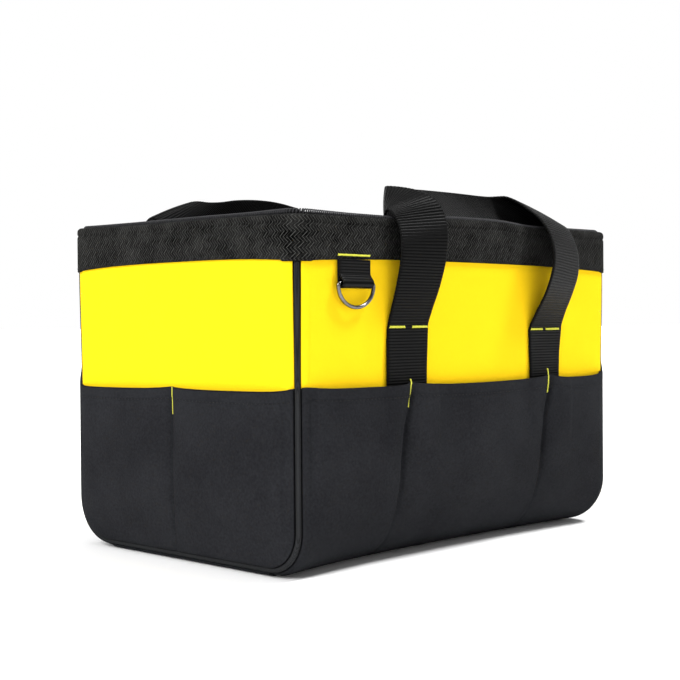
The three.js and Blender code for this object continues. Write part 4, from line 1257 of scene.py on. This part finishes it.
def handle_tacks(handle):
    """Two short yellow tacks across each leg, just above where it is sewn down."""
    parts = []
    for leg, (height, spans) in enumerate(LEG_TACKS):
        for span in spans:
            (low, normal), (high, _) = (handle.place(leg, height, share, 0.12 * MM) for share in span)
            parts += bar_tack([low, high], normal, (0.0, 0.0, 1.0))
    return parts


def ring_tack():
    """A short yellow tack on the band above the ring's tab."""
    z = BAND_BOTTOM + 4.5 * MM
    y = -HALF_DEPTH - RIM_FLARE - SEAM_GAP - BAND_CLOTH - 0.35 * MM
    low, high = np.array([RING_PLACE - 14 * MM, y, z]), np.array([RING_PLACE + 14 * MM, y, z])
    return bar_tack([low, high], np.array([0.0, -1.0, 0.0]), (0.0, 0.0, 1.0), 1.1 * MM)


def stitched(name, parts, material, slot, turn_it=False):
    shown(name, *joined(parts), None, slot, material, turn_it=turn_it)


for handle, (turn_it, side) in zip(HANDLES, SIDES):
    stitched("thread_" + side, front_stitches(), DARK_THREAD, "black_webbing", turn_it)
    tacks = pocket_tacks() + handle_tacks(handle) + ring_tack()
    stitched("tacks_" + side, tacks, TACK_THREAD, "yellow_cloth", turn_it)
for turn_it, side in ENDS:
    stitched("thread_" + side, end_stitches(), DARK_THREAD, "black_webbing", turn_it)
    stitched("tacks_" + side, end_tacks(), TACK_THREAD, "yellow_cloth", turn_it)
stitched("thread_band", band_stitches(), DARK_THREAD, "black_webbing")


# Camera, light and floor.
scene = bpy.context.scene
camera = bpy.data.objects.new("camera", bpy.data.cameras.new("camera"))
camera.data.sensor_width = 36.0
camera.data.lens = 69.816
camera.data.clip_start = 0.02
camera.data.clip_end = 50.0
camera.location = (-0.6955178, -0.6606979, 0.1528184)
CAMERA_YAW, CAMERA_PITCH, CAMERA_ROLL = 0.7688, -0.0136, -0.0071
forward = math.cos(CAMERA_PITCH)
look_way = Vector((forward * math.cos(CAMERA_YAW), forward * math.sin(CAMERA_YAW), math.sin(CAMERA_PITCH)))
roll = Matrix.Rotation(CAMERA_ROLL, 3, "Z").to_quaternion()
camera.rotation_mode = "QUATERNION"
camera.rotation_quaternion = look_way.to_track_quat("-Z", "Y") @ roll
scene.collection.objects.link(camera)
scene.camera = camera


def far_light(name, towards_it, strength, softness):
    """A distant soft lamp, even over the whole floor."""
    data = bpy.data.lights.new(name, "SUN")
    data.energy = strength
    data.angle = softness
    light = bpy.data.objects.new(name, data)
    light.rotation_mode = "QUATERNION"
    light.rotation_quaternion = Vector(towards_it).to_track_quat("Z", "Y")
    scene.collection.objects.link(light)


far_light("key", (0.42, -0.33, 0.84), 3.1, 0.26)
far_light("fill", (-0.80, -0.06, 0.60), 3.4, 0.60)

# White sky near the horizon, dimmer above it, and bright again overhead.
world = bpy.data.worlds.new("sky")
world.use_nodes = True
sky = world.node_tree
up = sky.nodes.new("ShaderNodeSeparateXYZ")
sky.links.new(sky.nodes.new("ShaderNodeTexCoord").outputs["Generated"], up.inputs[0])
total = sky.nodes.new("ShaderNodeMath")
for place, heights in enumerate(((0.28, 0.48, 1.0, 0.2), (0.84, 0.95, 0.0, 1.8))):
    step = sky.nodes.new("ShaderNodeMapRange")
    step.interpolation_type = "SMOOTHSTEP"
    for socket, value in zip(("From Min", "From Max", "To Min", "To Max"), heights):
        step.inputs[socket].default_value = value
    sky.links.new(up.outputs[2], step.inputs[0])
    sky.links.new(step.outputs[0], total.inputs[place])
sky.nodes["Background"].inputs["Color"].default_value = (1.0, 1.0, 1.0, 1)
sky.links.new(total.outputs[0], sky.nodes["Background"].inputs["Strength"])
scene.world = world

floor_look = Look("pale_floor", 0.9, Specular_IOR_Level=0.1)
floor_look.set("Base Color", (0.93, 0.93, 0.93, 1))
floor = shown("floor", [(-30, -30, 0), (30, -30, 0), (30, 30, 0), (-30, 30, 0)], [(0, 1, 2, 3)],
              material=floor_look.material, body=None)

scene.view_settings.view_transform = "Standard"
